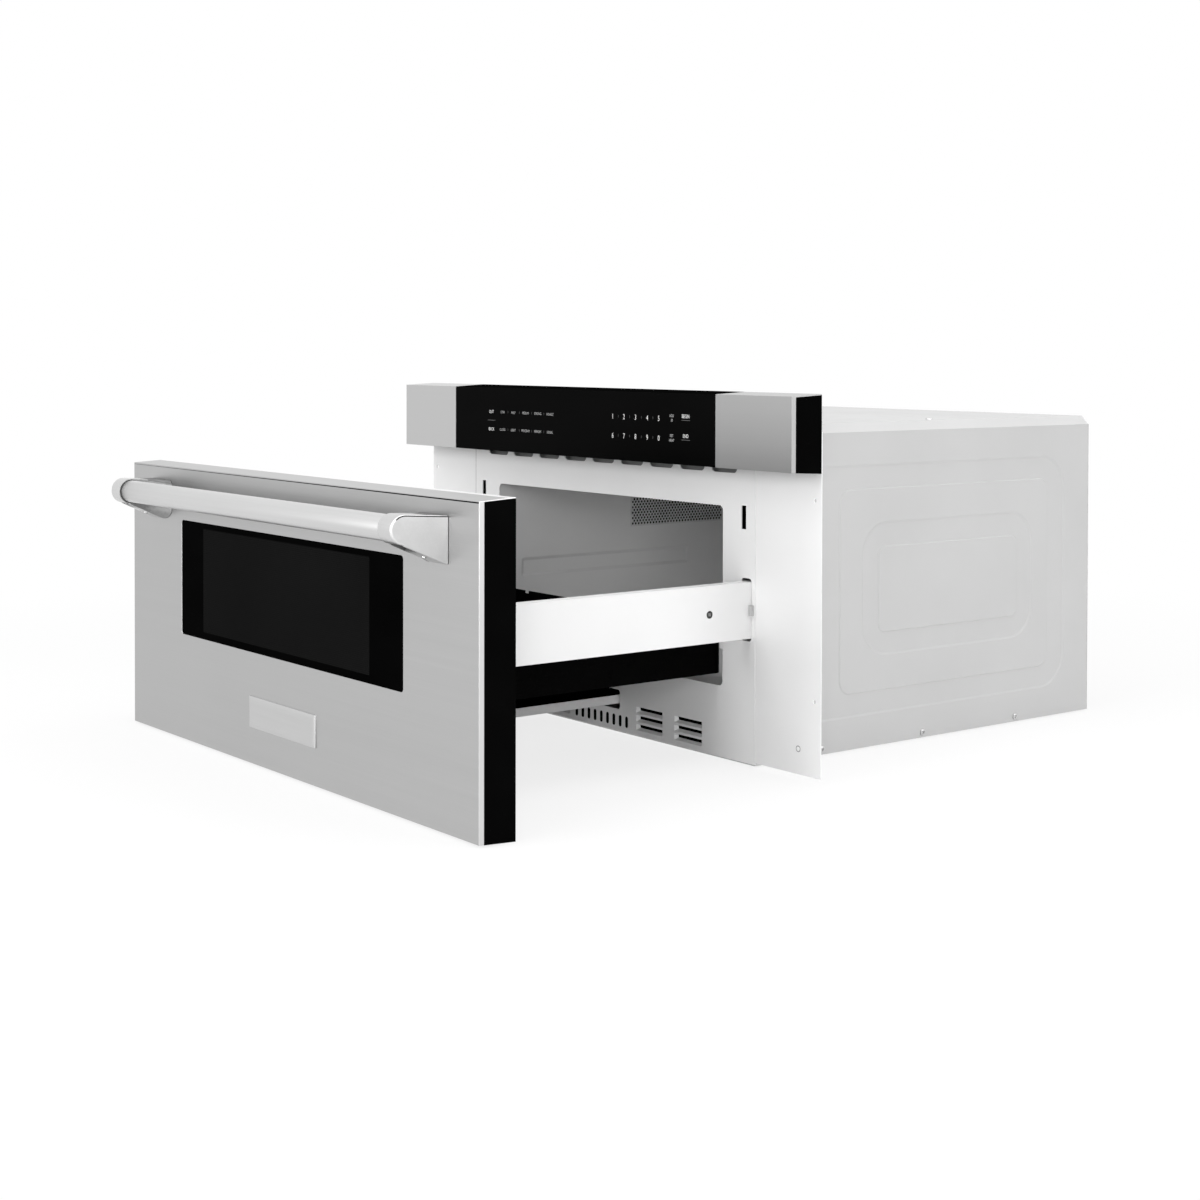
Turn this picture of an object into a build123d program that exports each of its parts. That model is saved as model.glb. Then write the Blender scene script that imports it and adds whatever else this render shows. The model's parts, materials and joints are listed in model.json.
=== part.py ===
"""Built-in microwave drawer, standing open, as an assembly of separate pieces.

Millimetres. +X is to the right seen from the front, +Y runs to the back and +Z is up. The origin is the
middle of the front bottom edge of the chassis, where the base plate meets the plane of the cabinet face.
The drawer is drawn fully open: every drawer piece stands TRAVEL forward of where it is when shut.
"""
from math import acos, cos, pi, radians, sin, sqrt, tan
import os

from build123d import *

os.makedirs("parts", exist_ok=True)

# ---------------------------------------------------------------- driving dimensions
# Overall
FRONT_W = 760.0            # width of the drawer front and of the control panel
CASE_W = 552.0             # chassis, outside of the wrapper
REAR_ROOM = 157.0          # from the cavity's back to the outside of the rear panel
CASE_H = 375.0
TRAVEL = 391.0             # how far the drawer runs out
HALF = FRONT_W / 2
CASE_HALF = CASE_W / 2
SHEET = 1.2                # front plate, base, rear panel, flanges, brackets
WRAP_T = 0.8               # outer wrapper
SEAM = 0.3                 # gap left between neighbouring sheets
FIT = 0.3                  # gap between a fixed and a moving surface

# Control panel
PANEL_DEPTH = 43.0         # how far the fronts stand proud of the cabinet face
PANEL_H = 80.0
PANEL_RISE = 35.0          # the panel stands this much above the case
PANEL_HIGH = CASE_H + PANEL_RISE
PANEL_LOW = PANEL_HIGH - PANEL_H
FLARE = 2.2                # the fronts grow this much taller towards their back, top and bottom
CAP_W = 121.8              # width of each steel cap, from its end to the glass
GLASS_HALF = HALF - CAP_W
GLASS_T = 3.5
CAP_PROUD = 0.4            # the steel caps stand this much proud of the glass
PANEL_WALL = 3.0
PANEL_RIM = 5.0            # thickness of the housing's rim
BOARD_INSET = 18.2         # from the glass's ends
BOARD_HALF = GLASS_HALF - BOARD_INSET
BOARD_SINK = 3.5           # board behind the back of the glass
BOARD_EDGE = 8.0
BOARD_POST_R = 3.5
BOARD_POST_END = 15.0      # from the board's ends
BOARD_POST_IN = 6.0
CHIP = (40.0, 8.4, 36.0)
CHIP_X = (-180.0, -60.0, 60.0, 180.0)

# Drawer front
FRONT_LOW = 0.4
FRONTS_GAP = 11.3          # between the drawer front and the panel above it
FRONT_HIGH = PANEL_LOW - FRONTS_GAP
FRONT_T = 41.3             # face of the steel to the back of the frame
SKIN_T = 1.2
SKIN_RETURN = 6.0          # depth of the steel folded round the sides and the bottom
BACK_WALL = 6.0            # thickness of the frame's back
RIM = 6.0                  # thickness of the frame's rim
WINDOW_SIDE = 133.2        # from the window to the ends of the front
WINDOW_TOP = 61.3          # and to its top
WINDOW_H = 133.9
WINDOW_HALF = HALF - WINDOW_SIDE
WINDOW_HIGH = FRONT_HIGH - WINDOW_TOP
WINDOW_LOW = WINDOW_HIGH - WINDOW_H
WINDOW_R = 4.0
WINDOW_SINK = 0.6          # the glass lies this much behind the steel
WINDOW_T = 4.0
WINDOW_BED = 4.0           # the frame's bed reaches this far round and behind the glass
SIGHT_SIDE = 60.8          # black border round the see-through part of the window
SIGHT_UNDER = 8.0
SIGHT_OVER = 6.4
SIGHT_HALF = WINDOW_HALF - SIGHT_SIDE
SIGHT_LOW = WINDOW_LOW + SIGHT_UNDER
SIGHT_HIGH = WINDOW_HIGH - SIGHT_OVER
SCREEN_T = 0.8
CHOKE_T = 3.0
CHOKE_SIDE = 14.5          # the choke cover reaches this far past the opening's sides
CHOKE_OVER = 13.0          # and past its top and bottom
BADGE_W = 149.0
BADGE_LOW = 40.5
BADGE_H = 34.7
BADGE_T = 2.2
BADGE_CHAMFER = 1.3
RIB_INSET = 60.0           # stiffening ribs inside the frame, from its bottom and top
RIB_T = 3.0

# Handle
BAR_R = 12.8
BAR_STANDOFF = 42.5        # bar axis in front of the steel
BAR_DROP = 28.6            # bar axis below the top of the front
BAR_Z = FRONT_HIGH - BAR_DROP
SOCKET_R = 7.0             # spigot of the bar inside each bracket
SOCKET_DEPTH = 14.0
BRACKET_INSET = 52.0       # bracket's outer end face at the steel, from the end of the front
BRACKET_TAPER = 10.5       # that face leans in this much from the steel to the tip of the nose
BRACKET_W = 24.0           # at the nose
BRACKET_FOOT_W = 56.0      # at the steel
BRACKET_OUT = HALF - BRACKET_INSET
BRACKET_TIP_OUT = BRACKET_OUT - BRACKET_TAPER
BRACKET_IN = BRACKET_TIP_OUT - BRACKET_W
BAR_HALF = BRACKET_IN - SEAM
BRACKET_FOOT_IN = BRACKET_OUT - BRACKET_FOOT_W
BRACKET_NOSE_R = 14.4
BRACKET_DOWN = 34.6        # the foot's bottom and top, from the bar's axis
BRACKET_UP = 12.2
BRACKET_FOOT_LOW = BAR_Z - BRACKET_DOWN
BRACKET_FOOT_HIGH = BAR_Z + BRACKET_UP
BRACKET_HOLLOW = 5.0       # how far the sweep of the inner side is drawn in
BRACKET_HOLLOW_Y = 12.0
CORNER_W = 25.0            # slanted lower inner corner of the foot
CORNER_H = 13.0
SET_SCREW_R = 2.4
SET_SCREW_LEN = 10.0
SET_SCREW_SINK = 9.0
SET_SCREW_Y = 16.0         # in front of the steel
BAR_EDGE = 0.6

# Front plate of the chassis
SIDE_ROOM = 54.5           # between the opening and the case's side, for the slides
HEAD_ROOM = 91.0           # above the opening
OPENING_HALF = CASE_HALF - SIDE_ROOM
OPENING_LOW = 81.0
OPENING_HIGH = CASE_H - HEAD_ROOM
OPENING_R = 6.0
PLATE_EDGE = 3.0           # the plate and the flanges end this much below the case's top
PLATE_HIGH = CASE_H - PLATE_EDGE
PLATE_RETURN = 12.0
FLANGE_LOW = 3.5
BASE_LIP = 14.0
INSTALL_HOLE_R = 2.25
INSTALL_EDGE = 10.0        # holes for the cabinet screws, from the ends of the flanges
INSTALL_X = HALF - INSTALL_EDGE
INSTALL_LOW = 84.6
INSTALL_DROP = 73.2        # the upper hole below the flange's top
INSTALL_HIGH = PLATE_HIGH - INSTALL_DROP
RIVET_EDGE = 34.5          # one rivet low in each trim flange, flush at the back
RIVET_X = HALF - RIVET_EDGE
RIVET_Z = 30.8
RIVET_HEAD_H = 0.9
LATCH_EDGE = 19.5          # from the case's side
LATCH_DROP = 10.8          # from the top of the opening
LATCH_X = CASE_HALF - LATCH_EDGE
LATCH_Z = OPENING_HIGH - LATCH_DROP
LATCH_SLOT_W = 7.8
LATCH_SLOT_H = 26.2
VENT_PITCH = 12.45
VENT_COUNT = 9
VENT_X = -2.4
VENT_Z = 13.6
VENT_W = 4.5
VENT_H = 13.4
LOUVRE_X = (90.5, 161.4)   # middles of the two columns on each side
LOUVRE_W = 51.0
LOUVRE_H = 7.4
LOUVRE_PITCH = 10.25
LOUVRE_TOP = 35.2
LOUVRE_ROWS = 3
LOUVRE_DEPTH = 6.5         # pressed inward; each one opens at its top
LOUVRE_GAP = 3.2           # between the flap's upper edge and the top of its slot
LOUVRE_TAPER = 4.5         # the ends run in this much with the depth
LOUVRE_END = 1.0           # thickness of the ends
LUG_W = 5.3                # lugs that stand in from the sides of the opening
LUG_IN = OPENING_HALF - LUG_W
LUG_LOW = 123.0
LUG_HIGH = 135.0
EXHAUST_PITCH = 55.8
EXHAUST_COUNT = 9
EXHAUST_W = 44.0
EXHAUST_H = 16.0
EXHAUST_SHOWN = 8.6        # the vents reach this far below the panel
EXHAUST_LOW = PANEL_LOW - EXHAUST_SHOWN
EXHAUST_R = 6.0

# Cavity and pan
CAVITY_T = 1.0
CAVITY_RISE = 12.0         # ceiling above the top of the opening
CAVITY_HIGH = OPENING_HIGH + CAVITY_RISE
PAN_BACK = 8.0             # the open pan's rear reaches this far behind the cabinet face
REAR_GAP = 13.0            # between the shut pan and the cavity's back
CAVITY_DEPTH = TRAVEL + PAN_BACK + REAR_GAP
CASE_D = CAVITY_DEPTH + REAR_ROOM
GRILLE_D = 166.0
GRILLE_H = 41.0
GRILLE_END = 29.0          # from the cavity's back
GRILLE_OVER = 44.6         # above the middle of the slides
GRILLE_Y = (CAVITY_DEPTH - GRILLE_END - GRILLE_D, CAVITY_DEPTH - GRILLE_END)
GRILLE_HOLE_R = 2.0
GRILLE_PITCH_Y = 10.4
GRILLE_PITCH_Z = 7.6
GRILLE_COLUMNS = 15
GRILLE_ROWS = 5
RIB_FRONT = 35.0
RIB_END = 92.0             # from the cavity's back
RIB_Y = (RIB_FRONT, CAVITY_DEPTH - RIB_END)
RIB_Z = (160.0, 185.0)
RIB_DEPTH = 1.5
RIB_R = 4.0
PAN_GAP = 6.5              # between the pan and the side of the opening
PAN_HALF = OPENING_HALF - PAN_GAP
PAN_LOW = 95.0
PAN_HIGH = 149.0
PAN_T = 1.5
PAN_R = 14.0
PAN_NOTCH_IN = 46.0        # from the pan's side
PAN_NOTCH_X = PAN_HALF - PAN_NOTCH_IN
PAN_NOTCH_W = 9.0
PAN_NOTCH_H = 3.5
TRAY_T = 5.0
TRAY_GAP = 1.0
TRAY_SINK = 1.5
TRAY_RIM = 9.0
TRAY_WELL_R = 8.0

# Drawer slides, right-hand side; the left is its mirror image
RAIL_Z = 171.4             # mid height of the slides and their covers
GRILLE_Z = (RAIL_Z + GRILLE_OVER, RAIL_Z + GRILLE_OVER + GRILLE_H)
RAIL_EDGE = 6.9            # from the case's side to the outer face of the white cover
RAIL_W = 15.1
RAIL_OUT = CASE_HALF - RAIL_EDGE
RAIL_IN = RAIL_OUT - RAIL_W
RAIL_H = 62.3
RAIL_SLOT_IN = 1.2         # the slot is this much wider than the cover, inside and outside
RAIL_SLOT_OUT = 0.6
RAIL_SLOT = (RAIL_IN - RAIL_SLOT_IN, RAIL_OUT + RAIL_SLOT_OUT)
RAIL_SLOT_H = 69.6
RAIL_SLOT_R = 4.0
RAIL_SCREW_Y = -60.0
SLIDE_LEN = 400.0
SLIDE_START = 5.0          # front end of the fixed member
SLIDE_T = 1.2
SLIDE_GAP = 0.4
INNER_H = 34.0
RAIL_SCREW_Z = RAIL_Z
CARRIER_EDGE = 3.0         # the fixed members' carriers are this much taller
TAB_H = 8.0
TAB_W = 9.0
GUIDE_H = 11.5
GUIDE_W = 4.6
GUIDE_OUT = 4.0
POCKET_GAP = 1.0           # room round a guide block in the shut drawer's back

# Rack drive under the pan
MODULE = 2.0
PINION_TEETH = 14
PRESSURE_ANGLE = radians(20)
ADDENDUM = 1.6
DEDENDUM = 2.0
BACKLASH = 0.5
PINION_Y = 45.0
PINION_HALF = 9.0
SHAFT_R = 4.0
SHAFT_GAP = 0.06
DRIVE_HALF = 31.0
DRIVE_LOW = 34.0
DRIVE_HIGH = 44.0          # tips of the rack teeth
DRIVE_BACK = 90.0
DRIVE_T = 1.5
DRIVE_FOOT_W = 12.0        # foot of the drive rail on the drawer's back
DRIVE_FOOT_H = 8.0
RACK_INSET = 1.0
RACK_STRIP_HALF = 10.0
RACK_GROOVE = 2.0
DRIVE_SLOT_HALF = 34.3
DRIVE_SLOT_LOW = 27.0
DRIVE_SLOT_HIGH = 50.4
POST_X = 33.5
POST_T = 2.0
POST_HIGH = 68.0
POST_HALF = 20.0
POST_FOOT = 14.0
GEARBOX_W = 24.0
GEARBOX_HALF_H = 15.5
GEARBOX_FRONT = 18.0
GEARBOX_BACK = 50.0
DRIVE_MOTOR_R = 13.0
DRIVE_MOTOR_LEN = 58.0

# Embossed channels in the sides of the wrapper: each lies between an outer and an inner ring, given as
# (from the front, from the back, from the bottom, from the top, corner radius)
BEVEL = 10.5
EMBOSS_DEPTH = 1.2
CHANNELS = (
    ((30.0, 48.0, 38.0, 49.5, 42.0), (129.7, 79.0, 64.0, 76.5, 16.0)),
    ((165.5, 109.5, 105.0, 116.4, 38.0), (192.0, 136.0, 131.0, 144.5, 10.0)),
)

# Fasteners
SCREW_HEAD_R = 4.2
SCREW_HEAD_H = 2.0
SCREW_R = 1.8
SCREW_HOLE_R = 2.0
SCREW_LEN = 5.0
SCREW_REACH = 1.0          # a screw's hole goes this much deeper than the screw
SIDE_SCREW_Z = 6.0
SIDE_SCREW_Y = (101.6, 266.0, 430.4)
TOP_SCREW_EDGE = 27.0      # from the case's side
TOP_SCREW_Y = 303.0
REAR_SCREW_SIDE = 14.0     # from the case's sides
REAR_SCREW_EDGE = 13.0     # from the case's top and bottom

# Interlock beside the latch slots
HOOK_HALF = 2.0
HOOK_LEN = 27.5
HOOK_BARB = 4.0
HOOK_UP = 11.0
HOOK_DOWN = 7.0
HOOK_PLATE = (12.0, 28.0)
LEVER_Y = 27.0
LEVER_RISE = 13.8          # the lever's pin above the middle of the slot
LEVER_Z = LATCH_Z + LEVER_RISE
LEVER_R = 1.5
LEVER_HALF = 3.0
LEVER_LEN = 23.0
LEVER_T = 1.2
SWITCH_IN = 4.5            # switch bracket beside the middle of the slot
SWITCH_BACK = 54.0
SWITCH_FRONT = 35.0
SWITCH_HALF_H = 11.5
SWITCH_LOW = LATCH_Z - SWITCH_HALF_H
SWITCH_HIGH = LATCH_Z + SWITCH_HALF_H
SWITCH_EDGE = 8.0          # the bracket is this much taller than the switches

# Stirrer and waveguide over the cavity
STIRRER_Y = CAVITY_DEPTH / 2
STIRRER_R = 70.0
STIRRER_T = 1.2
STIRRER_DROP = 6.0         # below the ceiling
STIRRER_Z = CAVITY_HIGH - STIRRER_DROP
STIRRER_SHAFT_R = 3.0
STIRRER_MOTOR_R = 24.0
STIRRER_MOTOR_H = 16.0
STIRRER_EAR = 64.0
STIRRER_EAR_W = 12.0
SHAFT_SEAT = 9.0           # how deep a motor takes its shaft
COUPLING_R = 20.0
COVER_HALF = 110.0
COVER_H = 10.5
COVER_LOW = CAVITY_HIGH - COVER_H
COVER_T = 1.5
WAVEGUIDE_HALF = 45.0
WAVEGUIDE_H = 33.0
WAVEGUIDE_FRONT = 66.0     # in front of the stirrer's axis
WAVEGUIDE_END = 50.0       # behind the magnetron's axis

# Magnetron
MAGNETRON_BEHIND = 58.0    # behind the cavity
MAGNETRON_Y = CAVITY_DEPTH + MAGNETRON_BEHIND
MAGNETRON_W = 90.0
MAGNETRON_D = 75.0
MAGNETRON_H = 71.0
YOKE_T = 2.0
ANODE_R = 20.0
FINS = 6
FIN_T = 1.0
FIN_EDGE = 6.0
FILTER_BOX = (60.0, 59.0, 28.0)
ANTENNA_R = 8.0
ANTENNA_H = 18.0
ANTENNA_GAP = 4.0

# Lamp outside the cavity's left wall
LAMP_BEHIND = 15.0         # behind the middle of the grille
LAMP_BOX_D = 60.0
LAMP_SIDE = 15.5           # between the lamp's box and the case's side
LAMP_SOCKET_R = 9.0
LAMP_SOCKET_LEN = 12.0
LAMP_BASE_R = 11.0
BULB_GAP = 1.8             # between the bulb and the grille

# Exhaust duct behind the top vents
DUCT_SIDE = 14.0           # from the case's sides
DUCT_OVER = 6.0            # above the cavity
DUCT_UNDER = 25.0          # below the case's top
DUCT_BACK = 118.0

# Transformer and capacitor on the base
TRANSFORMER_BEHIND = 74.0
TRANSFORMER_AT = (173.0, CAVITY_DEPTH + TRANSFORMER_BEHIND)
CORE = (90.0, 68.0, 80.0)
CORE_FOOT = (106.0, 80.0, 2.0)
CORE_WINDOW_W = 22.0
CORE_LEG = 16.0
CORE_YOKE = 13.0
COIL_W = 56.0
COIL_D = 92.0
COIL_H = 22.0
COIL_STEP = 28.0
CAPACITOR_BEHIND = 68.0
CAPACITOR_AT = (-200.0, CAVITY_DEPTH + CAPACITOR_BEHIND)
CAPACITOR_LEN = 62.0
CAPACITOR_W = 36.0
CAPACITOR_H = 88.0
TERMINAL = (6.0, 1.0, 10.0)
TERMINAL_PITCH = 20.0

# Fan at the rear
FAN_X = -157.0
FAN_Z = 185.0
FAN_SIZE = 130.0
FAN_BORE_R = 57.0
FAN_DEPTH = 30.0
FAN_TIP_R = 55.0
FAN_HUB_R = 16.0
FAN_HUB_H = 16.0
FAN_BLADES = 7
BLADE_T = 1.6
BLADE_CHORD = 18.0
BLADE_TWIST = 38.0
FAN_MOTOR_R = 18.0
FAN_MOTOR_LEN = 25.0
FAN_ARM_T = 3.0
FAN_ARM_W = 8.0
FAN_SHAFT_R = 2.5
INTAKE_SLOTS = 8
INTAKE_PITCH = 12.0
INTAKE_W = 6.0
INTAKE_H = 96.0

# Mains entry
FILTER_X = 105.0
FILTER_Z = 140.0
FILTER_W = 90.0
FILTER_H = 60.0
FILTER_POST = 12.0
FILTER_POST_R = 3.0
FILTER_POST_IN = 6.0
BOARD_T = 1.6
CHOKE_COIL_R = 15.0
CHOKE_COIL_H = 18.5
CHOKE_COIL_X = -15.0
FILTER_CAN = (28.0, 20.4, 24.0)
FILTER_CAN_X = 21.0
CORD_X = 200.0
CORD_Z = 60.0
CORD_BORE_R = 4.5
CORD_NECK_R = 10.0
CORD_NECK_LEN = 10.2
GLAND_FLANGE_R = 14.0
GLAND_FLANGE_T = 4.0

# ---------------------------------------------------------------- derived places
WRAP_IN = CASE_HALF - WRAP_T
PANEL_FACE = -PANEL_DEPTH
FACE = PANEL_FACE - TRAVEL                  # steel face of the open drawer
BACK = FACE + FRONT_T                       # back of the open drawer's frame
REAR_IN = CASE_D - SHEET                    # inside of the rear panel
BAR_Y = FACE - BAR_STANDOFF
CEILING = CAVITY_HIGH + CAVITY_T            # top of the cavity's sheet
PITCH = MODULE * pi
PITCH_R = MODULE * PINION_TEETH / 2
PITCH_LINE = DRIVE_HIGH - ADDENDUM
PINION_Z = PITCH_LINE + PITCH_R
SWITCH_WALL = LATCH_X + SWITCH_IN           # inner face of the switch bracket
GUIDE_X = RAIL_OUT + FIT + GUIDE_W / 2      # middle of a guide block


# ---------------------------------------------------------------- helpers
def facing(y):
    """A plane across the unit at depth y: sketch x is X, sketch y is Z, its normal looks to the front."""
    return Plane.XZ.offset(-y)


def side_on(x):
    """A plane along the unit at width x: sketch x is Y, sketch y is Z, its normal looks to +X."""
    return Plane.YZ.offset(x)


def level(z):
    """A level plane at height z."""
    return Plane.XY.offset(z)


def block(x0, x1, y0, y1, z0, z1, mode=Mode.ADD):
    """A box between two corners, in the piece being built."""
    with Locations(((x0 + x1) / 2, (y0 + y1) / 2, (z0 + z1) / 2)):
        Box(x1 - x0, y1 - y0, z1 - z0, mode=mode)


def stand(x, y, z, size, mode=Mode.ADD):
    """A box standing at height z with its middle over x and y, in the piece being built."""
    with Locations((x, y, z)):
        Box(*size, align=(Align.CENTER, Align.CENTER, Align.MIN), mode=mode)


def rod(start, direction, radius, length, mode=Mode.ADD):
    """A cylinder from start along direction, in the piece being built."""
    with Locations(Plane(origin=start, z_dir=direction)):
        Cylinder(radius, length, align=(Align.CENTER, Align.CENTER, Align.MIN), mode=mode)


def cone(start, direction, near, far, length, mode=Mode.ADD):
    """A cone from radius near at start to radius far, along direction, in the piece being built."""
    with Locations(Plane(origin=start, z_dir=direction)):
        Cone(near, far, length, align=(Align.CENTER, Align.CENTER, Align.MIN), mode=mode)


def prism(plane, points, length, mode=Mode.ADD):
    """A closed outline pushed along the plane's normal, in the piece being built."""
    with BuildSketch(plane) as outline:
        with BuildLine():
            Polyline(*points, close=True)
        make_face()
    extrude(outline.sketch, amount=length, mode=mode)


def rounded(plane, middle, size, radius, length, mode=Mode.ADD):
    """A rounded rectangle pushed along the plane's normal, in the piece being built."""
    with BuildSketch(plane) as outline:
        with Locations(middle):
            RectangleRounded(size[0], size[1], radius)
    extrude(outline.sketch, amount=length, mode=mode)


def span(low, high):
    """Middle and size of a stretch."""
    return (low + high) / 2, high - low


def channel(web, lips, z_half, thick, y0, y1):
    """A sheet channel along Y: web at X = web, lips reaching to X = lips, about RAIL_Z."""
    web_far = web + thick if lips > web else web - thick
    block(min(web, web_far), max(web, web_far), y0, y1, RAIL_Z - z_half, RAIL_Z + z_half)
    for z in (RAIL_Z - z_half, RAIL_Z + z_half - thick):
        block(min(web, lips), max(web, lips), y0, y1, z, z + thick)


def front_outline(face, back, low, high, inset=0.0):
    """Side view of a front: level at the face and FLARE taller at top and bottom at the back."""
    return [
        (face + inset, low + inset),
        (back, low - FLARE + inset),
        (back, high + FLARE - inset),
        (face + inset, high - inset),
    ]


def steel_shell(x0, x1, face, back, low, high, closed_left, closed_right):
    """A folded steel front: the top fold runs the full depth, the others SKIN_RETURN deep."""
    prism(side_on(x0), front_outline(face, back, low, high), x1 - x0)
    hollow_x0 = x0 + SKIN_T if closed_left else x0
    hollow_x1 = x1 - SKIN_T if closed_right else x1
    inner = front_outline(face, back, low, high, SKIN_T)
    prism(side_on(hollow_x0), inner, hollow_x1 - hollow_x0, Mode.SUBTRACT)
    rise = FLARE * SKIN_RETURN / (back - face)
    below_top = [
        (face + SKIN_RETURN, low - 2 * FLARE),
        (back, low - 2 * FLARE),
        (back, high + FLARE - SKIN_T),
        (face + SKIN_RETURN, high + rise - SKIN_T),
    ]
    prism(side_on(x0), below_top, x1 - x0, Mode.SUBTRACT)


def mirrored(piece):
    """The left-hand twin of a right-hand piece."""
    return mirror(piece, about=Plane.YZ)


def screw(head_seat, outward, head=SCREW_HEAD_H, length=SCREW_LEN):
    """A pan-head screw or rivet whose head seats at head_seat and looks outward."""
    inward = tuple(-v for v in outward)
    rod(head_seat, outward, SCREW_HEAD_R, head)
    rod(head_seat, inward, SCREW_R, length)


def screw_hole(head_seat, outward):
    """The clearance hole of such a screw."""
    inward = tuple(-v for v in outward)
    rod(head_seat, inward, SCREW_HOLE_R, SCREW_LEN + SCREW_REACH, Mode.SUBTRACT)


def ring_sketch(ring, grow, mode):
    """A rounded rectangle on the case's side, given by its insets and made larger by grow all round."""
    front, back, bottom, top, radius = ring
    y_mid, y_size = span(front - grow, CASE_D - back + grow)
    z_mid, z_size = span(bottom - grow, CASE_H - top + grow)
    with Locations((y_mid, z_mid)):
        RectangleRounded(y_size, z_size, radius + grow, mode=mode)


def louvre_plan(half):
    """Plan of a louvre that is 2 * half wide in the plate's face and runs in with the depth."""
    deep = SHEET + LOUVRE_DEPTH
    run_in = LOUVRE_TAPER * deep / LOUVRE_DEPTH
    return [(-half, -1), (half, -1), (half, 0), (half - run_in, deep), (run_in - half, deep), (-half, 0)]


def save(piece, name):
    """Label a finished piece and write its STEP file."""
    piece.part.label = name
    export_step(piece.part, f"parts/{name}.step")


# Seats of the screws that hold the chassis together
SIDE_SCREWS = [((side * CASE_HALF, y, SIDE_SCREW_Z), (side, 0, 0)) for side in (-1, 1) for y in SIDE_SCREW_Y]
TOP_SCREWS = [((side * (CASE_HALF - TOP_SCREW_EDGE), TOP_SCREW_Y, CASE_H), (0, 0, 1)) for side in (-1, 1)]
REAR_SCREW_X = (REAR_SCREW_SIDE - CASE_HALF, 0, CASE_HALF - REAR_SCREW_SIDE)
REAR_SCREW_Z = (REAR_SCREW_EDGE, CASE_H - REAR_SCREW_EDGE)
REAR_SCREWS = [((x, CASE_D, z), (0, 1, 0)) for x in REAR_SCREW_X for z in REAR_SCREW_Z]
FLANGE_RIVETS = [((side * RIVET_X, 0, RIVET_Z), (0, -1, 0)) for side in (-1, 1)]

# ---------------------------------------------------------------- chassis sheets
# Front plate: the white face round the opening, with every slot and vent that is cut in it
opening_mid, opening_h = span(OPENING_LOW, OPENING_HIGH)
rail_slot_mid, rail_slot_w = span(*RAIL_SLOT)
drive_slot_mid, drive_slot_h = span(DRIVE_SLOT_LOW, DRIVE_SLOT_HIGH)
louvre_columns = [side * x for side in (-1, 1) for x in LOUVRE_X]
louvre_tops = [LOUVRE_TOP - row * LOUVRE_PITCH for row in range(LOUVRE_ROWS)]

# One louvre, about the middle of its slot's top edge: what it adds behind the plate, and what it leaves open
louvre_deep = SHEET + LOUVRE_DEPTH
with BuildPart() as louvre_scoop:
    scoop = [(0, -LOUVRE_H), (SHEET, -LOUVRE_H), (louvre_deep, -LOUVRE_GAP), (SHEET, 0), (0, 0)]
    prism(side_on(-LOUVRE_W / 2), scoop, LOUVRE_W)
    ends = louvre_plan(LOUVRE_W / 2)
    prism(level(-2 * LOUVRE_H), ends, 3 * LOUVRE_H, Mode.INTERSECT)

with BuildPart() as louvre_hollow:
    flap_edge = [(LOUVRE_DEPTH, -LOUVRE_GAP), (louvre_deep + 1, -LOUVRE_GAP), (louvre_deep + 1, 0)]
    hollow = [(-1, -LOUVRE_H), (0, -LOUVRE_H), *flap_edge, (-1, 0)]
    prism(side_on(-LOUVRE_W / 2), hollow, LOUVRE_W)
    ends = louvre_plan(LOUVRE_W / 2 - LOUVRE_END)
    prism(level(-2 * LOUVRE_H), ends, 3 * LOUVRE_H, Mode.INTERSECT)

with BuildPart() as front_plate:
    block(-CASE_HALF, CASE_HALF, 0, SHEET, SHEET, PLATE_HIGH)
    for side in (-1, 1):
        fold = side * (WRAP_IN - SHEET / 2)
        fold_top = CASE_H - BEVEL - SHEET
        block(fold - SHEET / 2, fold + SHEET / 2, SHEET, SHEET + PLATE_RETURN, SHEET, fold_top)
    with BuildSketch(facing(0)):
        with Locations((0, opening_mid)):
            RectangleRounded(2 * OPENING_HALF, opening_h, OPENING_R)
            lug_middle, lug_h = span(LUG_LOW, LUG_HIGH)
            lug_half = (OPENING_HALF + LUG_IN) / 2
            with Locations((-lug_half, lug_middle - opening_mid), (lug_half, lug_middle - opening_mid)):
                Rectangle(OPENING_HALF - LUG_IN, lug_h, mode=Mode.SUBTRACT)
        with Locations((-rail_slot_mid, RAIL_Z), (rail_slot_mid, RAIL_Z)):
            RectangleRounded(rail_slot_w, RAIL_SLOT_H, RAIL_SLOT_R)
        with Locations((-LATCH_X, LATCH_Z), (LATCH_X, LATCH_Z)):
            Rectangle(LATCH_SLOT_W, LATCH_SLOT_H)
        with Locations((0, drive_slot_mid)):
            RectangleRounded(2 * DRIVE_SLOT_HALF, drive_slot_h, RAIL_SLOT_R)
        with Locations((VENT_X, VENT_Z)):
            with GridLocations(VENT_PITCH, 1, VENT_COUNT, 1):
                SlotOverall(VENT_H, VENT_W, rotation=90)
        with Locations((0, EXHAUST_LOW + EXHAUST_H / 2)):
            with GridLocations(EXHAUST_PITCH, 1, EXHAUST_COUNT, 1):
                RectangleRounded(EXHAUST_W, EXHAUST_H, EXHAUST_R)
    extrude(amount=-SHEET, mode=Mode.SUBTRACT)
    for x in louvre_columns:
        for top in louvre_tops:
            with Locations((x, 0, top)):
                add(louvre_scoop.part)
                add(louvre_hollow.part, mode=Mode.SUBTRACT)
save(front_plate, "front_plate")

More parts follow.
